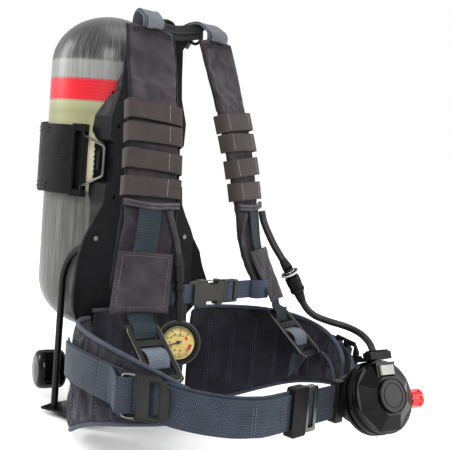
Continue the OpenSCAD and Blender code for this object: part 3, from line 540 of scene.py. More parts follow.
# cylinder wrap: fibre streaks, printed bands under a clear coat; uv = (girth, height) in metres
m = Mat("fibre_wrap", Roughness=0.42)
m.p.inputs["Coat Weight"].default_value = 0.28
m.p.inputs["Coat Roughness"].default_value = 0.2
m.p.inputs["Specular IOR Level"].default_value = 0.35
height = m.split(m.coord("UV"))[1]
uvv = m.coord("UV")
streak = m.noise(uvv, 1.0, 8, 0.65, s=(900, 16, 1))
streak2 = m.noise(uvv, 1.0, 6, 0.6, s=(260, 9, 1))
body_tone = m.add(m.mul(streak, 0.55), m.mul(streak2, 0.45))
grey = m.ramp(body_tone, [(0.30, (0.034, 0.034, 0.033)), (0.5, (0.105, 0.105, 0.102)),
                          (0.72, (0.25, 0.25, 0.243))])
tongue = m.noise(uvv, 1.0, 5, 0.7, s=(330, 22, 1))
edge_z = m.add(height, m.mul(m.sub(tongue, 0.5), 0.075))
dome = m.ramp(edge_z, [(0.514, BLACK), (0.526, WHITE)])
dome_top = m.ramp(height, [(0.566, WHITE), (0.589, (0.6,) * 3)])
flame_on = m.mul(m.mul(dome, dome_top), m.ramp(streak, [(0.46, WHITE), (0.62, (0.18,) * 3)]))
flame = m.mix(flame_on, grey, (0.022, 0.022, 0.023))
plain = m.mix(between(m, height, 0.4905, 0.4915, 0.5185, 0.5195),
              flame, m.ramp(body_tone, [(0.3, (0.135, 0.135, 0.13)), (0.7, (0.30, 0.30, 0.292))]))
line = m.add(height, m.mul(m.noise(uvv, 1.0, 2, 0.5, s=(40, 4, 1)), 0.0006))
fine = wave(m, line, 0.0048, 6.0)
red = m.mix(m.mul(fine, 0.55), (0.52, 0.010, 0.024), (0.28, 0.006, 0.015))
red_on = between(m, height, 0.4580, 0.4586, 0.4906, 0.4912)
c1 = m.mix(red_on, plain, red)
label = m.ramp(height, [(0.33, (0.46, 0.44, 0.34)), (0.40, (0.50, 0.47, 0.32)), (0.442, (0.24, 0.245, 0.13)),
                        (0.457, (0.30, 0.31, 0.19))])
side_shade = m.ramp(m.noise(uvv, 1.0, 3, 0.5, s=(9, 2, 1)), [(0.35, (0.86,) * 3), (0.65, (1.08,) * 3)])
label = m.mix(1.0, label, side_shade, "MULTIPLY")
label_on = between(m, height, 0.3295, 0.3300, 0.4577, 0.4582)
m.color(m.mix(label_on, c1, label))
m.bump(m.add(body_tone, m.mul(m.noise(uvv, 1.0, 2, 0.5, s=(30, 60, 1)), 0.4)), 0.0004, 0.35)
mat_wrap = m.m

# ---------- materials of the CAD pieces
FINISH = {"backplate": mat_plate, "guard_frame": mat_rod, "hook_rack": mat_mould, "foot_bumper": mat_rubber,
          "cylinder_saddles": mat_rubber, "plate_rivets": mat_mid_steel, "latch_pin": mat_steel,
          "latch_bail": mat_mid_steel, "latch_lever": mat_mould, "neck_ring": mat_dark_steel,
          "valve_body": mat_alu, "valve_guard": mat_alu, "valve_spindle": mat_alu, "handwheel": mat_gloss,
          "reducer_body": mat_alu, "reducer_cap": mat_dark_steel, "reducer_piston": mat_brass,
          "reducer_spring": mat_steel, "coupling_nut": mat_alu, "gauge_fitting": mat_mould,
          "gauge_boot": mat_rubber, "gauge_case": mat_steel, "gauge_dial": mat_dial,
          "gauge_needle": mat_dial_ink, "gauge_lens": mat_lens, "connect_body": mat_mould,
          "connect_sleeve": mat_mould, "shoulder_adjuster_right": mat_dark_steel,
          "shoulder_adjuster_left": mat_dark_steel, "chest_buckle_socket": mat_mould_grey,
          "chest_buckle_plug": mat_mould_grey, "waist_adjuster_right": mat_dark_steel,
          "waist_adjuster_left": mat_dark_steel, "waist_buckle_socket": mat_mould,
          "waist_buckle_tongue": mat_mid_steel, "regulator_holder": mat_dark_steel,
          "regulator_housing": mat_gloss, "regulator_cover": mat_gloss, "regulator_diaphragm": mat_rubber,
          "regulator_latch": mat_gloss_flat, "saver_button": mat_button, "purge_knob": mat_red,
          "cylinder_liner": mat_liner, "cylinder_band": mat_band, }
for name, material in FINISH.items():
    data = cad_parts[name].data
    data.materials.clear()
    data.materials.append(material)


# ---------- free cords
GAUGE_ROUTE = [(-77, -139, 321), (-73, -143, 304), (-69, -147, 287), (-67, -151, 270), (-67, -155, 252)]
SUPPLY_ROUTE = [(118, -124, 321), (119, -129, 306), (121, -138, 290), (123, -149, 274), (126, -161, 259),
                (130, -172, 244)]
SUPPLY_LOW = [(148, -182, 209), (157, -187, 191), (172, -193, 177), (194, -204, 168), (209, -226, 163),
              (209, -252, 158), (196, -279, 150), (175, -301, 139), (152, -319, 127), (131, -331, 115)]


def cord_curve(name, route, d, points):
    path = smooth(route, 24)
    s = run_length(path)
    t = np.linspace(0, s[-1], points)
    path = np.stack([np.interp(t, s, path[:, k]) for k in range(3)], 1)
    cu = bpy.data.curves.new(name, "CURVE")
    cu.dimensions = "3D"
    cu.bevel_depth = d / 2 * MM
    cu.bevel_resolution = 6
    cu.resolution_u = 8
    cu.use_fill_caps = True
    sp = cu.splines.new("NURBS")
    sp.points.add(len(path) - 1)
    for q, p in zip(sp.points, path):
        q.co = (*(p * MM), 1)
    sp.order_u = 4
    sp.use_endpoint_u = True
    ob = bpy.data.objects.new(name, cu)
    scene.collection.objects.link(ob)
    cu.materials.append(mat_hose)
    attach(ob, "frame")
    return ob, s[-1] * MM


def boots(name, route, d, ends):
    """Tapered strain reliefs with raised rings."""
    grids = []
    path = even(smooth(route, 24), 1.0)
    for from_start, r0, length in ends:
        piece = path[:length] if from_start else path[::-1][:length]

        def radius(t):
            ring = 0.45 * max(0.0, math.sin(t * math.pi * 9)) * (1 - 0.6 * t)
            return d / 2 + 0.25 + (r0 - d / 2) * (1 - t) ** 0.8 + ring

        grids.append(tube_grid(piece, 1, step=0.8, n=20, radius_at=radius))
    return join_grids(name, grids, mat_rubber)


def hose(name, route, d, points, ends, node=None):
    """A hose with its strain reliefs; returns its length in metres."""
    ob, length = cord_curve(name, route, d, points)
    boot = boots(name + "_boot", route, d, ends)
    if node:
        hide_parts(node)
    return length


len_a = hose("gauge_line", GAUGE_ROUTE, 9, 18, [(False, 6.6, 16)], "gauge_hose")
len_b = hose("supply_line_upper", SUPPLY_ROUTE, 10, 20, [(False, 7, 15)], "supply_hose")
len_c = hose("supply_line_lower", SUPPLY_LOW, 10, 34, [(True, 7, 15), (False, 8, 18)])
print("cord lengths", round(len_a, 4), round(len_b, 4), round(len_c, 4))

# ---------- padded pieces: one cloth simulation each
def puff(ob, pin, cap, pressure=4.0, grow=0.03, frames=20):
    """Swells a closed mesh under pressure, pinned points held; no point moves further than cap (mm)."""
    n = len(ob.data.vertices)
    rest = np.empty(n * 3)
    ob.data.vertices.foreach_get("co", rest)
    rest = rest.reshape(-1, 3)
    group = ob.vertex_groups.new(name="pin")
    level = np.round(pin, 1)
    for w in np.unique(level):
        if w > 0:
            group.add(np.where(level == w)[0].tolist(), float(w), "REPLACE")
    mod = ob.modifiers.new("cloth", "CLOTH")
    s = mod.settings
    s.quality = 6
    s.mass = 0.3
    s.tension_stiffness = 12
    s.compression_stiffness = 12
    s.shear_stiffness = 6
    s.bending_stiffness = 0.4
    s.vertex_group_mass = "pin"
    s.shrink_min = -grow
    s.use_pressure = True
    s.uniform_pressure_force = pressure
    s.effector_weights.gravity = 0
    mod.collision_settings.use_collision = False
    mod.point_cache.frame_start = 1
    mod.point_cache.frame_end = frames
    for f in range(1, frames + 1):
        scene.frame_set(f)
    ev = ob.evaluated_get(bpy.context.evaluated_depsgraph_get())
    co = np.empty(n * 3)
    ev.data.vertices.foreach_get("co", co)
    co = co.reshape(-1, 3)
    ob.modifiers.remove(mod)
    ob.vertex_groups.clear()
    scene.frame_set(1)
    d = co - rest
    size = np.linalg.norm(d, axis=1)
    return rest + d * (np.minimum(size, cap * MM) / np.maximum(size, 1e-9))[:, None]


def set_coords(ob, co):
    ob.data.vertices.foreach_set("co", np.asarray(co, float).reshape(-1))
    ob.data.update()


def subdivide(ob, levels=1):
    mod = ob.modifiers.new("fine", "SUBSURF")
    mod.levels = levels
    mod.render_levels = levels
    bpy.context.view_layer.update()
    me = bpy.data.meshes.new_from_object(ob.evaluated_get(bpy.context.evaluated_depsgraph_get()))
    ob.modifiers.remove(mod)
    old = ob.data
    ob.data = me
    bpy.data.meshes.remove(old)
    me.polygons.foreach_set("use_smooth", [True] * len(me.polygons))


def mirrored(grid):
    g = np.array(grid, float)
    g[..., 0] *= -1
    return g[:, ::-1]


def sided(grids, flip):
    """The right side's grids, mirrored for the left side."""
    return [mirrored(g) for g in grids] if flip else grids


def outline(hw, ht, count, pu=0.5, pv=0.75):
    """Soft rectangular outline, evenly spaced."""
    a = np.linspace(0, 2 * np.pi, 721)
    c, s = np.cos(a), np.sin(a)
    pts = np.stack([hw * np.sign(c) * np.abs(c) ** pu, ht * np.sign(s) * np.abs(s) ** pv], 1)
    d = run_length(pts)
    t = np.linspace(0, d[-1], count, endpoint=False)
    return np.stack([np.interp(t, d, pts[:, 0]), np.interp(t, d, pts[:, 1])], 1)


# shoulder strap line, the same as the frame's
STRAP = [(-60, -56, 560), (-65, -70, 520), (-74, -92, 450), (-83, -108, 385), (-91, -118, 322),
         (-101, -125, 262), (-122, -145, 200), (-126, -150, 187)]
TURN = [8, 9, 12, 16, 20, 24, 28, 28]
strap_p = smooth(STRAP, 24)
strap_side = [(math.cos(math.radians(a)), -math.sin(math.radians(a)), 0) for a in TURN]
strap_a, strap_n = path_frames(strap_p, smooth(strap_side, 24))[1:]


def strap_at(z):
    f = [np.interp(-z, -strap_p[:, 2], arr[:, k]) for arr in (strap_p, strap_a, strap_n) for k in range(3)]
    return np.array(f[0:3]), unit(f[3:6]), unit(f[6:9])


def on_strap(z, u, v):
    p, a, n = strap_at(z)
    return p + a * u + n * v


LOOPS = [456, 428, 394, 361]
FOLDS = [(-30, 540, 6, 528, 5, 1.5), (-34, 512, -8, 500, 5, 1.6), (-22, 500, 14, 470, 5, 2.6),
         (-34, 486, -12, 466, 4, 2.4), (10, 500, 34, 474, 6, 1.8), (-10, 480, 8, 462, 3.5, 1.8),
         (18, 470, 34, 462, 4, 1.5), (0, 548, 34, 520, 8, 1.0), (-34, 300, -20, 268, 4, 1.5),
         (-36, 276, -24, 262, 4, 1.2), (24, 300, 35, 270, 4, 1.2)]


def fold(u, z, folds=FOLDS):
    """Height of the soft creases at a point of the cover."""
    out = 0.0
    for u0, z0, u1, z1, w, h in folds:
        d = np.array([u1 - u0, z1 - z0], float)
        t = np.clip(((u - u0) * d[0] + (z - z0) * d[1]) / (d @ d), 0, 1)
        r2 = (u - u0 - d[0] * t) ** 2 + (z - z0 - d[1] * t) ** 2
        out += h * (math.exp(-r2 / (w * w)) - 0.6 * math.exp(-r2 / (4.5 * w * w)))
    return out


PAD_TOP, PAD_END, PAD_HALF = 559, 214, 35.5


def width_left(z):
    """Share of the pad's full width at a height; it is drawn in a little at two places."""
    return 1 - 0.05 * math.exp(-((z - 470) / 22) ** 2) - 0.08 * math.exp(-((z - 300) / 30) ** 2)


def shoulder_pad(name, node, slot_loops, flip):
    zs = np.linspace(PAD_TOP, PAD_END, 84)
    count = 44
    grid = np.empty((len(zs), count, 3))
    local = np.empty((len(zs), count, 2))
    pin = np.zeros((len(zs), count))
    for i, z in enumerate(zs):
        end = min(PAD_TOP - z, z - PAD_END)
        k = 0.35 + 0.65 * math.sqrt(min(1, max(0, end) / 14))
        half = PAD_HALF * width_left(z)
        sec = outline(half, 6.2 * k, count)
        p, a, n = strap_at(z)
        for j, (u, v) in enumerate(sec):
            local[i, j] = (u, v)
            grid[i, j] = p + a * u + n * v
            edge = abs(u) / half
            pin[i, j] = 0.9 if edge > 0.985 else 0
            if v > 0 and any(top - 26 <= z <= top for top in LOOPS):
                pin[i, j] = 0.7
        if end < 5:
            pin[i] = 1
    g = mirrored(grid) if flip else grid
    if flip:
        pin, local = pin[:, ::-1], local[:, ::-1]
    ob = grid_mesh(name, g, mat_pad, body=None)
    co = puff(ob, pin.reshape(-1), 5.0, 4.5, 0.045).reshape(g.shape) / MM
    for i, z in enumerate(zs):
        p, a, n = strap_at(z)
        if flip:
            p, a, n = p * [-1, 1, 1], a * [-1, 1, 1], n * [-1, 1, 1]
        for j in range(count):
            u0, v0 = local[i, j]
            u = (co[i, j] - p) @ a
            v = (co[i, j] - p) @ n
            top = 9.4
            if z < 326 and abs(u0) < 20:
                top = 8.4
            if any(t - 27 <= z <= t + 1 for t in LOOPS + [334]):
                top = 9.0
            limit = min(37.2, abs(u))
            v2 = min(v, top) + (fold(u0 * (-1 if flip else 1), z) if v0 > 0 and abs(u0) < 34 else 0)
            if z < 326 and abs(u0) < 20:
                v2 = min(v2, 8.6)
            co[i, j] += n * (v2 - v) + a * (math.copysign(limit, u) - u)
    set_coords(ob, co.reshape(-1, 3) * MM)
    subdivide(ob)
    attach(ob, "frame")
    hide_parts(node)
    # seams down both edges and across the top
    seams = []
    for s in (-1, 1):
        line = np.array([on_strap(z, s * 36.6 * (1 - 0.04 * math.exp(-((z - 470) / 22) ** 2)), 0.5) for z in
                         np.linspace(556, 218, 110)])
        seams.append(tube_grid(line, 1.5, n=10))
    for z, v in ((551, 8.0), (547, 8.6)):
        line = np.array([on_strap(z + 1.5 * math.cos(u / 12), u, v + 1.2 - 0.0042 * u * u)
                         for u in np.linspace(-30, 30, 40)])
        seams.append(tube_grid(line, 0.8, n=8))
    seam = join_grids(name + "_piping", sided(seams, flip), mat_pad_dark)
    # hem below the last keeper: a rolled light edge that dips in the middle
    hem = []
    for dz, r in ((0, 2.6), (-4.4, 2.2)):
        line = np.array([on_strap(330 + dz - 4.0 * math.cos(u / 42 * math.pi / 2) + 0.04 * u, u * 0.985,
                                  10.9 + 1.0 * math.cos(u / 38 * math.pi / 2) - 4.5 * (abs(u) / 38) ** 7)
                         for u in np.linspace(-38, 38, 60)])
        hem.append(tube_grid(line, r, n=12,
                             radius_at=lambda t: r * (0.9 + 0.14 * math.sin(t * 23) * math.sin(t * 7))))
    join_grids(name + "_hem", sided(hem, flip), mat_hem)
    # keepers
    bands, threads = [], []
    across_path = [(-38.9, -7), (-39.3, 0), (-38.7, 5), (-36.4, 8.8), (-31, 10.6), (-15, 11.8), (0, 12.2),
                   (15, 11.8), (31, 10.6), (36.4, 8.8), (38.7, 5), (39.3, 0), (38.9, -7)]
    cuts = (17.5,) if not flip else (-24, 30)
    for k, top in enumerate(LOOPS):
        mid = top - 13
        tan = unit(on_strap(mid - 8, 0, 0) - on_strap(mid + 8, 0, 0))
        tilt = (-0.03, 0.02, -0.02, 0.03)[k]
        path = np.array([on_strap(mid + tilt * u, u, v) for u, v in smooth(across_path, 5)])
        g = ribbon_grid(path, -tan, 25.5, 1.7, step=2.2, n=22)
        bands.append(g)
        for cut in cuts:
            zz = np.linspace(top - 2, top - 24, 20)
            v = 13.05 - 0.0016 * cut * cut
            threads += stitch_grids(np.array([on_strap(z + tilt * cut, cut, v) for z in zz]),
                                    strap_at(mid)[2], 2.2, 0.9, 0.45)
        for dz in (1.6, 24.4):
            line = np.array([on_strap(top - dz + tilt * u, u, 12.95 - 0.0019 * u * u)
                             for u in np.linspace(-30, 30, 30)])
            bands.append(tube_grid(line, 0.45, n=6, step=4))
    band = join_grids(name + "_keepers", sided(bands, flip), mat_loop)
    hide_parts(slot_loops)
    join_grids(name + "_keeper_thread", sided(threads, flip), mat_thread)


shoulder_pad("pad_right", "shoulder_pad_right", "strap_loops", False)
shoulder_pad("pad_left", "shoulder_pad_left", "strap_loops", True)


# ---------- flaps that cover the pads' lower ends
FLAP_TOP, FLAP_END, FLAP_HALF = 264, 192, 35
FLAP_SKEW = 0.10
FLAP_FOLDS = [(-30, 256, -6, 236, 6, 1.8), (-28, 214, 4, 200, 6, 1.5), (8, 246, 30, 226, 7, 1.2),
              (-4, 226, 24, 210, 6, 1.3)]


def flap_grid():
    rows = []
    zs = np.linspace(FLAP_TOP, FLAP_END, 42)
    us = np.linspace(-FLAP_HALF, FLAP_HALF, 40)
    for z in zs:
        f = (FLAP_TOP - z) / (FLAP_TOP - FLAP_END)
        front_row, back_row = [], []
        for u in us:
            edge = min((FLAP_HALF - abs(u)) / 3, (FLAP_TOP - z) / 3 + 0.25, (z - FLAP_END) / 3 + 0.25, 1)
            soft = 14.2 + 1.0 * math.cos(u / FLAP_HALF * math.pi / 2) - 2.6 * (abs(u) / FLAP_HALF) ** 4
            soft += 0.9 * math.sin(u / 9.5 + 1.3 + f * 3.1) * f * (1 - f) * 2.4
            soft += fold(u, z, FLAP_FOLDS)
            hem = 0.55 if min(FLAP_HALF - abs(u), z - FLAP_END, FLAP_TOP - z) < 5 else 0.0
            skew = FLAP_SKEW * u
            front_row.append(on_strap(z + skew, u * (1 + 0.04 * f), soft + 0.9 * edge + hem))
            back_row.append(on_strap(z + skew, u * (1 + 0.04 * f), soft - 0.9 * edge))
        rows.append(front_row[::-1] + back_row)
    return np.array(rows)


flap_a = flap_grid()
flaps = join_grids("flaps", [flap_a, mirrored(flap_a)], mat_pad)
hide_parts("strap_flaps")


def flap_rim(u, z):
    v = 15.3 + 1.0 * math.cos(u / FLAP_HALF * math.pi / 2) - 2.6 * (abs(u) / FLAP_HALF) ** 4
    return on_strap(z + FLAP_SKEW * u, u, v)


# one row of stitches a little inside each of the four edges
SEAM_IN = 5.4
w = FLAP_HALF - SEAM_IN
across = np.linspace(-w, w, 40)
down = np.linspace(FLAP_TOP - SEAM_IN, FLAP_END + SEAM_IN, 40)
flap_thread = []
for line in ([flap_rim(u, FLAP_TOP - SEAM_IN) for u in across], [flap_rim(u, FLAP_END + SEAM_IN)
                                                                 for u in across],
             [flap_rim(-w, z) for z in down], [flap_rim(w, z) for z in down]):
    flap_thread += stitch_grids(np.array(line), strap_at(228)[2], 2.6, 1.2, 0.36)
join_grids("flap_thread", flap_thread + [mirrored(q) for q in flap_thread], mat_thread_dark)

# ---------- shoulder webbing and adjusters
ADJ_TOP = np.array([-127, -160, 181.0])
adj_dir = unit([-10, -74, -60])
adj_R = rz(math.degrees(math.atan2(adj_dir[0],
                                   -adj_dir[1]))) @ rx(math.degrees(math.asin(-adj_dir[2]))) @ rz(180)


def adj(x, y, z):
    return ADJ_TOP + adj_R @ np.array([x, y, z], float)


adj_side = -(adj_R @ np.array([1.0, 0, 0]))
front_line = [on_strap(z, -2, 10.6) for z in np.linspace(328, 206, 30)]
over_bar = [on_strap(198, -1, 11.6), adj(0, -6, 6.2), adj(0, 0, 5.6), adj(0, 5, 4.8), adj(0, 10, 2.4),
            adj(0, 14, -1.5), adj(0, 17, -4.4)]
path_a = np.concatenate([np.array(front_line), smooth(over_bar, 5)])
bend_steps = len(path_a) - len(front_line)
share = [k / bend_steps for k in range(bend_steps)]
side_a = np.array([strap_at(p[2])[1] for p in front_line]
                  + [unit(strap_at(195)[1] * (1 - f) + adj_side * f) for f in share])
cut_a = len(front_line) - 4
WEAVE = dict(ribs=9, depth=0.3, n=38)
web_a = ribbon_grid(path_a[:cut_a + 1], side_a[:cut_a + 1], 31, 2.3, step=2.6, **WEAVE)
web_over = ribbon_grid(path_a[cut_a:], side_a[cut_a:], 31, 2.3, step=2.2, **WEAVE)
weave = smooth([adj(0, 20, -4.6), adj(0, 26, -4.9), adj(0, 31, -3.6), adj(0, 36, 0), adj(0, 41, 3.4),
                adj(0, 48, 4.8), adj(0, 55, 3.6), adj(0, 59, 0), adj(0, 62, -3.4)], 5)
web_b = ribbon_grid(weave, adj_side, 30, 2.1, step=2.0, **WEAVE)
tail = smooth([adj(0, 61, -5), (-136, -204, 136), (-140, -196, 125), (-148, -187, 109), (-154, -180, 92)], 8)
web_c = ribbon_grid(tail, np.array([1, -0.25, 0]), 31, 2.3, step=3, **WEAVE)
for tag, flip, body in (("right", False, "shoulder_adjuster_r"), ("left", True, "shoulder_adjuster_l")):
    placed = mirrored if flip else np.asarray
    top_web = grid_mesh("strap_web_" + tag, placed(web_a), mat_teal)
    if not flip:
        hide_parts("shoulder_webbing")
    over_web = grid_mesh("strap_over_" + tag, placed(web_over), mat_teal, body=None)
    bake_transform(over_web)
    grid_mesh("strap_weave_" + tag, placed(web_b), mat_loop_grey, body=body)
    tail_web = grid_mesh("strap_tail_" + tag, placed(web_c), mat_teal, body=None)
    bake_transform(tail_web)
    # painted edge highlight: a rim of lighter metal traced along the plate's edge
    highlight_pts = [(-21, 2), (-24, 8), (-24, 78), (-19, 86), (19, 86), (24, 78), (24, 8), (21, 2)]
    line = np.array([adj(x * 0.985, y * 0.985 if y > 10 else y, 1.4) for x, y in highlight_pts])
    grid_mesh("adjuster_rim_" + tag, placed(tube_grid(line, 0.7, n=10, step=1.5)), mat_mid_steel, body=body)

# ---------- yoke: hangers, cross strap, handle and panel
hang = smooth([(-59, -61.5, 557), (-59, -62, 564), (-58, -58, 573), (-54, -41, 581), (-44, -21, 573),
               (-38, -8, 552)], 8)
tan, a0, n0 = path_frames(hang, np.array([1.0, 0, 0]))
layer_1 = ribbon_grid(hang + n0 * 1.3, np.array([1.0, 0, 0]), 34, 2.3, step=2.5, ribs=10, depth=0.3, n=40)
layer_2 = ribbon_grid(hang - n0 * 1.3, np.array([1.0, 0.05, 0]), 31, 2.2, step=2.5, ribs=10, depth=0.3, n=40)
roll = smooth([(-60, -66, 556), (-60, -67.5, 564), (-58, -63, 571), (-56, -55, 575), (-55, -47, 579)], 6)
layer_3 = ribbon_grid(roll, np.array([1.0, 0.1, 0]), 29, 2.3, step=2.5, ribs=9, depth=0.3, n=36)
hangers = join_grids("hangers", [layer_1, layer_2, layer_3] + [mirrored(q) for q in (layer_1, layer_2,
                                                                                     layer_3)], mat_grey_web)
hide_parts("yoke")
cross = smooth([(-46, -47, 570), (-38, -41, 569), (-16, -34.5, 564), (0, -33, 563), (16, -34.5, 564),
                (38, -41, 569), (46, -47, 570)], 6)
cross_g = ribbon_grid(cross, np.array([0, 0.5, 1.0]), 24, 2.6, step=3, ribs=7, n=32)
cross_2 = ribbon_grid(cross + [0, 4.5, 3.5], np.array([0, 0.9, 0.6]), 20, 2.2, step=3, ribs=6, n=30)
handle = smooth([(-20, -13, 541), (-20, -13, 562), (-11, -14, 578), (11, -14, 578), (20, -13, 562),
                 (20, -13, 541)], 8)
handle_g = ribbon_grid(handle, np.array([0, 1.0, 0]), 14, 3.0, step=2.5, n=18)
join_grids("yoke_straps", [cross_g, cross_2, handle_g], mat_black_web)
panel = []
for z in np.linspace(568, 538, 18):
    f = (568 - z) / 30
    row_f, row_b = [], []
    for x in np.linspace(-33 + 9 * f, 33 - 9 * f, 30):
        y = -31 - 5.5 * (x / 33) ** 2 + 1.6 * math.sin(x / 6.5 + f * 2) * (0.3 + f) + 9 * f * f
        row_f.append((x, y - 1.0, z + 2 * math.cos(x / 12)))
        row_b.append((x, y + 1.0, z + 2 * math.cos(x / 12)))
    panel.append(row_f[::-1] + row_b)
grid_mesh("yoke_panel", np.array(panel), mat_pad_dark)
loops = [tube_grid(smooth([(s * 38, -40, 566), (s * 45, -44, 560), (s * 44, -36, 553), (s * 36, -30, 556)],
                          6), 2.0, n=10) for s in (-1, 1)]
join_grids("yoke_ties", loops, mat_black_web)


# ---------- waist wings and lumbar pad
WING = [(-94, -16), (-122, -32), (-150, -62), (-172, -104), (-184, -152), (-181, -204), (-163, -248),
        (-140, -277)]
WING_LOW = [12, 14, 26, 46, 66, 80, 90, 98]
WING_TOP = [160, 163, 166, 168, 166, 158, 144, 128]
wing_line = even(np.concatenate([smooth(WING, 24), smooth([(q,) for q in WING_LOW], 24),
                                 smooth([(q,) for q in WING_TOP], 24)], 1), 4.6)


def wing_point(s, o, h):
    """s 0..1 along the wing, o outward from its middle, h 0..1 up its height."""
    i = s * (len(wing_line) - 1)
    k = int(min(i, len(wing_line) - 2))
    q = wing_line[k] * (1 - i + k) + wing_line[k + 1] * (i - k)
    t = unit(wing_line[min(k + 2, len(wing_line) - 1), :2] - wing_line[max(k - 1, 0), :2])
    n = np.array([t[1], -t[0]])
    n = n if n @ (q[:2] - np.array([0, -150])) > 0 else -n
    return np.array([q[0] + n[0] * o, q[1] + n[1] * o, q[2] + (q[3] - q[2]) * h])


def wing_normal(s):
    return unit(wing_point(s, 1, 0.5) - wing_point(s, 0, 0.5))


WING_SEAMS = [0.10, 0.22, 0.34, 0.46, 0.58, 0.70, 0.82, 0.92]
WING_FOLDS = [(0.30, 0.95, 0.42, 0.25, 0.030, 1.6), (0.50, 0.98, 0.56, 0.30, 0.03, 1.8),
              (0.62, 0.9, 0.66, 0.1, 0.03, 1.6), (0.74, 0.95, 0.78, 0.2, 0.028, 1.4),
              (0.16, 0.9, 0.20, 0.1, 0.03, 1.2), (0.86, 0.9, 0.88, 0.2, 0.025, 1.0)]


def waist_wing(name, node, flip):
    rows = len(wing_line)
    count = 66
    grid = np.empty((rows, count, 3))
    pin = np.zeros((rows, count))
    side = np.zeros((rows, count))
    for i in range(rows):
        s = i / (rows - 1)
        low, top = wing_line[i, 2], wing_line[i, 3]
        end = min(s, 1 - s) * 310
        k = 0.4 + 0.6 * math.sqrt(min(1, end / 14))
        seam = min(abs(s - q) for q in WING_SEAMS) * 310
        k *= 0.62 + 0.38 * min(1, (seam / 6) ** 0.8)
        sec = outline((top - low) / 2 - 1.5, 5.2 * k, count, 0.35, 0.75)
        for j, (h, o) in enumerate(sec):
            grid[i, j] = wing_point(s, o, 0.5 + h / (top - low))
            side[i, j] = o
            edge = abs(h) / ((top - low) / 2 - 1.5)
            pin[i, j] = 1.0 if edge > 0.99 else (0.8 if seam < 1.8 else 0)
        if end < 4:
            pin[i] = 1
    g = mirrored(grid) if flip else grid
    if flip:
        pin, side = pin[:, ::-1], side[:, ::-1]
    ob = grid_mesh(name, g, mat_wing, body=None)
    co = puff(ob, pin.reshape(-1), 5.0, 4.0, 0.04).reshape(g.shape) / MM
    for i in range(rows):
        s = i / (rows - 1)
        n = wing_normal(s) * ([-1, 1, 1] if flip else [1, 1, 1])
        base = wing_point(s, 0, 0.5) * ([-1, 1, 1] if flip else [1, 1, 1])
        for j in range(count):
            o = (co[i, j] - base) @ n
            h = (co[i, j, 2] - wing_line[i, 2]) / (wing_line[i, 3] - wing_line[i, 2])
            extra = 0.0
            if side[i, j] < 0 and 0.06 < h < 0.94:
                for s0, h0, s1, h1, w, z in WING_FOLDS:
                    t = np.clip((h0 - h) / (h0 - h1), 0, 1)
                    if 0 <= (h0 - h) / (h0 - h1) <= 1:
                        extra -= z * math.exp(-((s - s0
                                                 - (s1 - s0) * t) / w) ** 2) * math.sin(math.pi * t) ** 0.5
            o2 = max(-8.4, min(7.6, o)) + extra
            co[i, j] += n * (o2 - o)
    set_coords(ob, co.reshape(-1, 3) * MM)
    subdivide(ob)
    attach(ob, "frame")
    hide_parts(node)
    # bound edge along the top, the tip and the bottom, and stitched channels on both faces
    rim = [wing_point(s, 0, 1.0) + [0, 0, 0.3] for s in np.linspace(0.02, 0.985, 70)]
    rim += [wing_point(0.995, 0, h) for h in np.linspace(0.94, 0.06, 8)]
    rim += [wing_point(s, 0, 0.0) - [0, 0, 0.3] for s in np.linspace(0.985, 0.02, 70)]
    edge = [tube_grid(np.array(rim), 3.0, n=12, step=3)]
    if flip:
        arch = [wing_point(s, -9.0, 0.10 + 0.52 * math.sin(math.pi * (s - 0.60) / 0.38) ** 0.6)
                for s in np.linspace(0.601, 0.979, 50)]
        edge.append(tube_grid(np.array(arch), 2.4, n=10, step=3))
    grid_o = join_grids(name + "_binding", sided(edge, flip), mat_bind)
    threads = []
    for q in WING_SEAMS:
        for off in (-0.006, 0.006):
            for o in (-1, 1):
                line = np.array([wing_point(q + off, o * (4.6 + 1.0 * math.sin(math.pi * h)), h)
                                 for h in np.linspace(0.1, 0.9, 30)])
                threads += stitch_grids(line, wing_normal(q) * o, 3.0, 1.6, 0.36)
    join_grids(name + "_thread", sided(threads, flip), mat_thread_blue)


waist_wing("wing_right", "waist_wing_right", False)
waist_wing("wing_left", "waist_wing_left", True)


LUMBAR_HALF = 88


def lumbar_y(x):
    """Middle of the lumbar pad's thickness."""
    return np.interp(abs(x), [0, 30, 60, LUMBAR_HALF], [-19, -18.5, -17, -13])


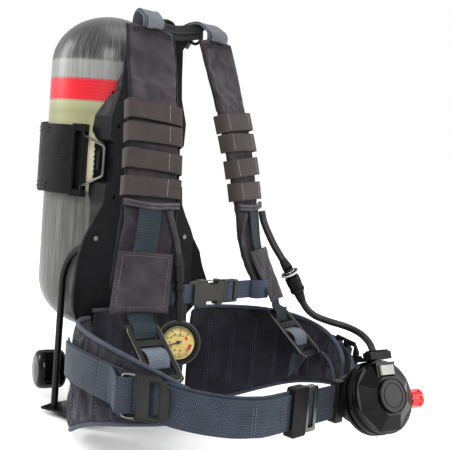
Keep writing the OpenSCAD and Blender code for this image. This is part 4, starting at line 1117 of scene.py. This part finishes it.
def lumbar():
    xs = np.linspace(-LUMBAR_HALF, LUMBAR_HALF, 44)
    count = 72
    seams = [-66, -44, -22, 0, 22, 44, 66]
    grid = np.empty((len(xs), count, 3))
    pin = np.zeros((len(xs), count))
    for i, x in enumerate(xs):
        y = lumbar_y(x)
        end = LUMBAR_HALF - abs(x)
        seam = min(abs(x - q) for q in seams)
        k = (0.4 + 0.6 * math.sqrt(min(1, end / 12))) * (0.6 + 0.4 * min(1, (seam / 6) ** 0.8))
        sec = outline(76.5, 7.0 * k, count, 0.35, 0.75)
        for j, (h, o) in enumerate(sec):
            grid[i, j] = (x, y - o, 92 + h)
            pin[i, j] = 1.0 if abs(h) > 75.5 else (0.8 if seam < 2 else 0)
        if end < 4:
            pin[i] = 1
    ob = grid_mesh("lumbar", grid, mat_wing, body=None)
    co = puff(ob, pin.reshape(-1), 5.0, 4.0, 0.035) / MM
    co[:, 1] = np.minimum(co[:, 1], -3.2)
    set_coords(ob, co * MM)
    subdivide(ob)
    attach(ob, "frame")
    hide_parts("lumbar_pad")
    edge, threads = [], []
    for z in (14.6, 169.4):
        line = np.array([(x, lumbar_y(x), z) for x in np.linspace(-90, 90, 50)])
        edge.append(tube_grid(line, 2.8, side=(0, 0.2, 1), n=12))
    join_grids("lumbar_binding", edge, mat_bind)
    for x in seams:
        y = lumbar_y(x)
        for off in (-1.8, 1.8):
            line = np.array([(x + off, y - 5.4 - 1.2 * math.sin(math.pi * (z - 14) / 156), z)
                             for z in np.linspace(28, 156, 40)])
            threads += stitch_grids(line, np.array([0, -1.0, 0]), 3.0, 1.6, 0.36)
    join_grids("lumbar_thread", threads, mat_thread_blue)


lumbar()

# ---------- waist webbing
BELT = [(-158, -58), (-184, -102), (-196, -152), (-192, -208), (-173, -256), (-148, -286), (-112, -310),
        (-74, -322.4)]
BELT_Z = [126, 130, 131, 126, 117, 110, 104, 101]
front_y = -326 + 1.2


def belt_path(out, dz=0.0, last=-25.4):
    line = np.concatenate([smooth(BELT, 12), smooth([(q,) for q in BELT_Z], 12)], 1)
    line = np.concatenate([line, [[-60, -323.6, 101], [last, -323.6, 101]]])
    t = np.gradient(line[:, :2], axis=0)
    t /= np.linalg.norm(t, axis=1)[:, None]
    n = np.stack([t[:, 1], -t[:, 0]], 1)
    line[:, :2] += n * (1.2 + out)
    line[:, 2] += dz
    return line


UP = np.array([0, 0, 1.0])
main_r = ribbon_grid(belt_path(0.0), UP, 44, 2.5, step=4, ribs=0, n=44)
main_l = mirrored(ribbon_grid(belt_path(0.0, last=-52), UP, 44, 2.5, step=4, n=44))
# the doubled layer behind the front run, a little higher
inner = belt_path(-3.0, 6.0)
inner = inner[len(inner) * 5 // 9:]
inner_r = ribbon_grid(inner, UP, 40, 2.3, step=4, n=40)
inner_l = mirrored(ribbon_grid(inner[:-1], UP, 40, 2.3, step=4, n=40))
belt = join_grids("belt", [main_r, main_l, inner_r, inner_l], mat_belt)
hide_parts("waist_webbing")
lead = grid_mesh("belt_lead", ribbon_grid(np.array([(52, front_y, 101), (3, front_y, 101)]), UP, 44, 2.5,
                                          step=3, n=44), mat_belt)
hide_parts("waist_belt_lead")
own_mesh(lead)

WADJ = np.array([-200, -219, 123.0])
wadj_R = rz(-66) @ rx(4) @ rx(90)


def wadj(x, y, z):
    return WADJ + wadj_R @ np.array([x, y, z], float)


wadj_up = wadj_R @ np.array([0, 1.0, 0])
rear_line = belt_path(3.2)
rear_line = rear_line[(rear_line[:, 1] > -196) & (rear_line[:, 1] < -74)]
rear = np.concatenate([rear_line, smooth([rear_line[-1] + [-1.5, -8, -0.5], wadj(-4, 0, 5.2),
                                          wadj(0, 0, 5.4), wadj(4, 0, 4.9), wadj(8.5, 0, 2.6),
                                          wadj(11, 0, -0.8), wadj(12, 0, -4)], 5)[1:]])
rear_side = np.array([UP if i < len(rear_line) else wadj_up for i in range(len(rear))])
cut_r = len(rear_line) - 5
rear_g = ribbon_grid(rear[:cut_r + 1], rear_side[:cut_r + 1], 43, 2.3, step=2.6, n=42)
rear_over = ribbon_grid(rear[cut_r:], rear_side[cut_r:], 43, 2.3, step=2.2, n=42)
bar_wrap = smooth([wadj(10, 0, -5.0), wadj(13, 0, -4.6), wadj(17, 0, -4.2), wadj(22, 0, -3.9)], 5)
bar_g = ribbon_grid(bar_wrap, wadj_up, 40, 2.2, step=1.6, n=40)
deep = smooth([wadj(39, 0, -4.5), wadj(44, 0, -5.2), wadj(50, 0, -5.6)], 5)
deep_g = ribbon_grid(deep, wadj_up, 40, 2.2, step=1.6, n=40)
WIRE = [(18, 25, 2.2), (9, 25.5, 3.4), (4, 24, 4), (2.5, 20, 4.2), (2.5, 12, 4.2)]
WINDOW = [(35.6, -20.6), (48.2, -20.6), (48.2, 20.6), (35.6, 20.6), (35.6, -20.6)]
for tag, flip, body in (("right", False, "waist_adjuster_r"), ("left", True, "waist_adjuster_l")):
    placed = mirrored if flip else np.asarray
    grid_mesh("belt_rear_" + tag, placed(rear_g), mat_belt)
    over_belt = grid_mesh("belt_over_" + tag, placed(rear_over), mat_belt, body=None)
    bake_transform(over_belt)
    join_grids("belt_bar_" + tag, [placed(bar_g), placed(deep_g)], mat_belt, body=body)
    rim = [(1, -26), (46, -26), (59, -15.5), (59, 15.5), (46, 26), (1, 26)]
    outer = tube_grid(np.array([wadj(x, y, 1.3) for x, y in rim]), 1.0, n=10, step=1.5)
    inner_rim = tube_grid(np.array([wadj(x, y, 1.4) for x, y in WINDOW]), 0.8, n=8, step=1.5)
    wires = [tube_grid(smooth([wadj(x, s * y, z) for x, y, z in WIRE], 5), 1.3, n=10, step=1.2)
             for s in (-1, 1)]
    join_grids("waist_adjuster_rim_" + tag, [placed(outer), placed(inner_rim)], mat_dark_steel, body=body)
    join_grids("waist_adjuster_wire_" + tag, [placed(q) for q in wires], mat_mid_steel, body=body)

# two double rows of stitches across the belt's right front run
threads = []
for x in (-40, -44, -86, -90):
    y = np.interp(x, [-112, -74, -64], [-314, -326.4, -327.2])
    threads += stitch_grids(np.array([(x, y - 0.1, z) for z in np.linspace(84, 118, 40)]),
                            np.array([0, -1.0, 0]), 2.4, 1.2, 0.4)
join_grids("belt_thread", threads, mat_thread_dark)

# ---------- chest strap
cy, cz = -151, 214
CHEST_WEB = dict(w=25, step=2.5, n=26)
right_run = ribbon_grid(smooth([(-96, cy - 1, cz), (-80, cy - 0.4, cz), (-60, cy, cz), (-31, cy, cz)], 5),
                        UP, t=2.3, **CHEST_WEB)
right_fold = ribbon_grid(smooth([(-86, cy - 3.0, cz), (-66, cy - 2.9, cz), (-50, cy - 2.7, cz)], 5), UP,
                         t=2.2, **CHEST_WEB)
left_run = ribbon_grid(np.array([(96, cy - 1, cz), (84, cy - 0.5, cz), (72, cy, cz)]), UP, t=2.3, **CHEST_WEB)
left_fold = ribbon_grid(smooth([(99, cy - 13.5, cz + 1), (90, cy - 14.2, cz + 1), (82, cy - 12.4, cz + 0.5),
                                (77, cy - 5.5, cz), (76, cy - 2.6, cz)], 6), UP, 26, 2.3, step=2.2, n=26)
chest = join_grids("chest_web", [right_run, right_fold, left_run, left_fold], mat_chest)
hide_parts("chest_strap")
lead_run = ribbon_grid(np.array([(72, cy, cz), (16.5, cy, cz)]), UP, t=2.3, **CHEST_WEB)
chest_lead = grid_mesh("chest_lead", lead_run, mat_chest)
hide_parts("chest_strap_lead")
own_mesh(chest_lead)
plug_ends = ribbon_grid(smooth([(24, cy + 2.2, cz), (24.2, cy - 1, cz), (26, cy - 4.9, cz),
                                (30, cy - 5.6, cz), (34, cy - 5.2, cz), (36, cy - 2, cz)], 5), UP, 24.4,
                        1.8, step=1.2, n=24)
grid_mesh("chest_plug_loop", plug_ends, mat_chest, body="chest_plug")
lips = []
for pts in ([(-29, -6.0, 15.5), (-12, -6.0, 17), (10, -6.0, 17), (17, -6.0, 14)],
            [(-29, -6.0, -15.5), (-12, -6.0, -17), (10, -6.0, -17), (17, -6.0, -14)],
            [(-8, -6.0, 14.5), (-4, -6.1, 11.5), (4, -6.1, 11.5), (8, -6.0, 14.5)]):
    lips.append(tube_grid(smooth([(x, cy + y, cz + z) for x, y, z in pts], 6), 0.7, n=8, step=1.5))
join_grids("chest_socket_lips", lips, mat_mould_grey)

# ---------- gauge
G_AT = np.array([-76, -174, 158.0])
G_R = rz(-40) @ rx(80)


def gauge(x, y, z):
    return G_AT + G_R @ np.array([x, y, z], float)


def gauge_bar(a_deg, r0, r1, w, z0=0.02, z1=0.28):
    a = math.radians(a_deg)
    d, t = np.array([math.cos(a), math.sin(a)]), np.array([-math.sin(a), math.cos(a)])
    rows = []
    for r in (r0, r1):
        c = d * r
        rows.append([gauge(*(c + t * w / 2), z0), gauge(*(c - t * w / 2), z0), gauge(*(c - t * w / 2), z1),
                     gauge(*(c + t * w / 2), z1)])
    return np.array(rows)


def gauge_arc(a0, a1, r, w, z1=0.22):
    rows = []
    for a_deg in np.linspace(a0, a1, max(3, int(abs(a1 - a0) / 4))):
        a = math.radians(a_deg)
        d = np.array([math.cos(a), math.sin(a)])
        rows.append([gauge(*(d * (r - w / 2)), 0.02), gauge(*(d * (r + w / 2)), 0.02),
                     gauge(*(d * (r + w / 2)), z1), gauge(*(d * (r - w / 2)), z1)])
    return np.array(rows)


ink = [gauge_bar(a, 15.0 if k % 5 else 13.0, 18.6, 0.55 if k % 5 else 1.0) for k,
       a in enumerate(np.linspace(-40, -320, 36))]
ink += [gauge_arc(-45, -315, 19.1, 0.5)]
for a in (-75, -110, -145, -180, -215, -250, -285):
    ink.append(gauge_bar(a, 9.6, 11.6, 1.2))
    ink.append(gauge_bar(a + 7, 9.8, 11.4, 0.7))
for k in range(7):
    ink.append(np.array([[gauge(-7 + 2.2 * k, 7.2 + dy, z) for dy, z in ((0, 0.02), (1.9, 0.02),
                                                                         (1.9, 0.24), (0, 0.24))],
                         [gauge(-5.9 + 2.2 * k - 0.3 * (k % 3), 7.2 + dy, z) for dy,
                          z in ((0, 0.02), (1.9, 0.02), (1.9, 0.24), (0, 0.24))]]))
join_grids("dial_marks", ink, mat_dial_ink, smooth_faces=False)
grid_mesh("dial_green_mark", gauge_arc(-150, -178, 15.6, 4.2), mat_dial_green, smooth_faces=False)
grid_mesh("dial_red_mark", gauge_arc(-6, -34, 15.6, 4.2), mat_dial_red, smooth_faces=False)
grid_mesh("dial_red_box", gauge_arc(18, 40, 11.5, 3.0), mat_dial_red, smooth_faces=False)


def turned(name, profile, place_fn, material, n=64, sharp=35):
    """Closed ring of revolution; profile is (r, z) pairs round a closed loop."""
    prof = np.asarray(profile, float)
    grid = np.array([[place_fn(r * math.cos(b), r * math.sin(b), z) for r, z in prof]
                     for b in np.linspace(0, 2 * np.pi, n + 1)])
    return grid_mesh(name, grid, material, cap=False, sharp=sharp)


turned("gauge_bright_rim", [(26.4, 8.6), (27.4, 8.2), (28.2, 7.0), (28.3, 5.6), (27.6, 5.0), (26.6, 6.6),
                            (26.0, 8.0)], gauge, mat_hem)
turned("gauge_bezel", [(22.9, 7.2), (23.1, 8.6), (22.2, 9.4), (21.2, 9.0), (20.6, 7.0), (21.4, 6.6)], gauge,
       mat_gloss_flat)

# ---------- regulator details
R_AT = np.array([86, -351, 106.0])
R_R = rz(-13.7) @ rx(68)


def reg(x, y, z):
    return R_AT + R_R @ np.array([x, y, z], float)


def reg_ring(name, r, z, w, material):
    section = [(r + w * math.cos(a), z + w * math.sin(a)) for a in np.linspace(0, 2 * np.pi, 9)[:-1]]
    return turned(name, section, reg, material, n=72, sharp=80)


for k, (r, z, w) in enumerate([(44.4, 13.5, 0.9), (44.4, 23.5, 0.9), (42.2, 30.0, 0.8), (36.2, 3.0, 1.0),
                               (43.6, 33.0, 0.9), (43.8, 38.4, 0.7), (20.2, 54.0, 0.9), (14.5, 54.1, 0.5),
                               (30, 8.0, 0.6)]):
    reg_ring("reg_ring_%d" % k, r, z, w, mat_gloss if k != 3 else mat_steel)
screws = []
for a in range(0, 360, 45):
    c = (37.0 * math.cos(math.radians(a)), 37.0 * math.sin(math.radians(a)))
    if c[1] > 24:
        continue
    screws.append(np.array([[reg(c[0] + r * math.cos(b), c[1] + r * math.sin(b), z) for r,
                             z in ((2.4, 38.2), (2.4, 40.2), (2.0, 40.7), (1.1, 40.8), (1.0, 40.0),
                                   (0.2, 39.9), (0.2, 38.4))] for b in np.linspace(0, 2 * np.pi, 17)]))
join_grids("reg_screws", screws, mat_dark_steel, closed=True, cap=False, sharp=35)
grips = [np.array([[reg(x + dx, 49.2 + dy, z) for dx, dy in ((-0.8, 0), (0.8, 0), (0.8, 1.6), (-0.8, 1.6))]
                   for z in (31.5, 43)]) for x in np.linspace(-13, 13, 8)]
grips = [g + (R_R @ np.array([0, 6.1, 0])) for g in grips]
join_grids("release_grip", grips, mat_gloss_flat, body="release_latch", smooth_faces=False)

# ---------- quick connect, latch and buckle details
C0, C1 = np.array([130, -172, 244.0]), np.array([148, -182, 209.0])
c_dir = unit(C1 - C0)
c_x = unit(np.cross(c_dir, [0, 0, 1.0]))
c_y = np.cross(c_dir, c_x)


def conn(x, y, z):
    return C0 + c_x * x + c_y * y + c_dir * z


turned("connect_clear_ring", [(7.1, 6.6), (13.2, 6.6), (13.8, 7.6), (13.2, 9.2), (7.1, 9.2)], conn, mat_clear)
turned("connect_bright_ring", [(7.1, 4.0), (8.6, 4.2), (8.6, 5.6), (7.1, 5.8)], conn, mat_steel)
turned("connect_rubber_collar", [(7.1, 33.0), (10.2, 33.4), (10.8, 35.0), (9.4, 38.4), (7.1, 39.4)], conn,
       mat_rubber)

CYL_Y = 103.0


def round_cyl(a_deg, r, z):
    a = math.radians(a_deg)
    return np.array([r * math.cos(a), CYL_Y + r * math.sin(a), z])


latch_parts = []
for z in (330, 336, 411, 417):
    latch_parts.append(tube_grid(np.array([round_cyl(a, 98.2, z) for a in np.linspace(151, 176, 20)]), 1.1,
                                 n=8, step=2))
for a, r in ((206.6, 102.2), (215.4, 102.2)):
    latch_parts.append(tube_grid(np.array([round_cyl(a, r, z) for z in np.linspace(324, 423, 20)]), 1.2,
                                 n=8, step=3))
for z in (324, 423):
    latch_parts.append(tube_grid(np.array([round_cyl(a, 102.2, z) for a in np.linspace(206.6, 215.4, 8)]),
                                 1.2, n=8, step=2))
latch_parts.append(tube_grid(np.array([round_cyl(a, 98.3, 373.5) for a in np.linspace(152, 204, 30)]), 0.8,
                             n=8, step=2))
join_grids("latch_ribs", latch_parts, mat_mould, body="lever")
keeper = [tube_grid(np.array([round_cyl(a, 90.2, z) for a in np.linspace(-38, 122, 90)]), 0.7, n=6, step=4)
          for z in (354, 396)]
join_grids("band_selvedge", keeper, mat_band)

# ---------- cylinder skin: same size as the wound shell
CYL_R, DOME_H = 87.0, 76
SHOULDER_TOP, SHOULDER_LOW = 514, 194


def dome_point(a_deg, z0):
    a = math.radians(a_deg)
    return CYL_R * math.cos(a), z0 + DOME_H * math.sin(a)


profile = [dome_point(a, SHOULDER_TOP) for a in np.linspace(90, 0, 30)]
profile += [(CYL_R, z) for z in np.linspace(510, 198, 60)]
profile += [dome_point(a, SHOULDER_LOW) for a in np.linspace(0, -72, 24)]
profile += [(25, 119.5), (24, 117), (24, 112.2)]
profile = np.array([(max(r, 0.02), z) for r, z in profile])
turns = 160
grid = np.array([[(r * math.cos(b), CYL_Y + r * math.sin(b), z) for b in np.linspace(0, 2 * np.pi,
                                                                                     turns + 1)] for r,
                 z in profile])
faces, uv = [], []
rows, cols = len(profile), turns + 1
for i in range(rows - 1):
    for k in range(turns):
        faces.append((i * cols + k, (i + 1) * cols + k, (i + 1) * cols + k + 1, i * cols + k + 1))
        for ii, kk in ((i, k), (i + 1, k), (i + 1, k + 1), (i, k + 1)):
            uv.append((kk / turns * 2 * math.pi * CYL_R * MM, profile[ii, 1] * MM))
skin = add_mesh("cylinder_skin", grid.reshape(-1, 3), faces, mat_wrap, uv=uv)
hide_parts("cylinder_wrap")

# ---------- floor, light
floor_mat = Mat("floor", Roughness=1.0)
floor_mat.p.inputs["Base Color"].default_value = (1.0, 1.0, 1.0, 1)
floor_mat.p.inputs["Specular IOR Level"].default_value = 0.0
me = bpy.data.meshes.new("floor")
me.from_pydata([(-6, -6, -0.0005), (6, -6, -0.0005), (6, 6, -0.0005), (-6, 6, -0.0005)], [], [(0, 1, 2, 3)])
me.materials.append(floor_mat.m)
floor = bpy.data.objects.new("floor", me)
scene.collection.objects.link(floor)

world = bpy.data.worlds.new("world")
world.use_nodes = True
bg = world.node_tree.nodes["Background"]
bg.inputs[0].default_value = (1.0, 1.0, 1.0, 1)
bg.inputs[1].default_value = 1.0
scene.world = world


def area(name, at, target, size, power):
    data = bpy.data.lights.new(name, "AREA")
    data.shape = "RECTANGLE"
    data.size, data.size_y = size
    data.energy = power
    ob = bpy.data.objects.new(name, data)
    ob.location = at
    ob.rotation_euler = (Vector(target) - Vector(at)).to_track_quat("-Z", "Y").to_euler()
    scene.collection.objects.link(ob)


area("key", (-1.5, -1.6, 1.7), (0, -0.1, 0.32), (0.9, 1.2), 42)
area("fill", (1.4, -1.9, 0.9), (0, -0.15, 0.3), (1.0, 1.2), 22)
area("rim", (-1.2, 1.6, 1.2), (0, 0.1, 0.35), (0.8, 1.2), 26)
area("top", (0.2, -0.2, 2.2), (0, -0.1, 0.3), (1.2, 1.2), 14)
scene.view_settings.view_transform = "Standard"
scene.view_settings.look = "None"
scene.view_settings.gamma = 0.82
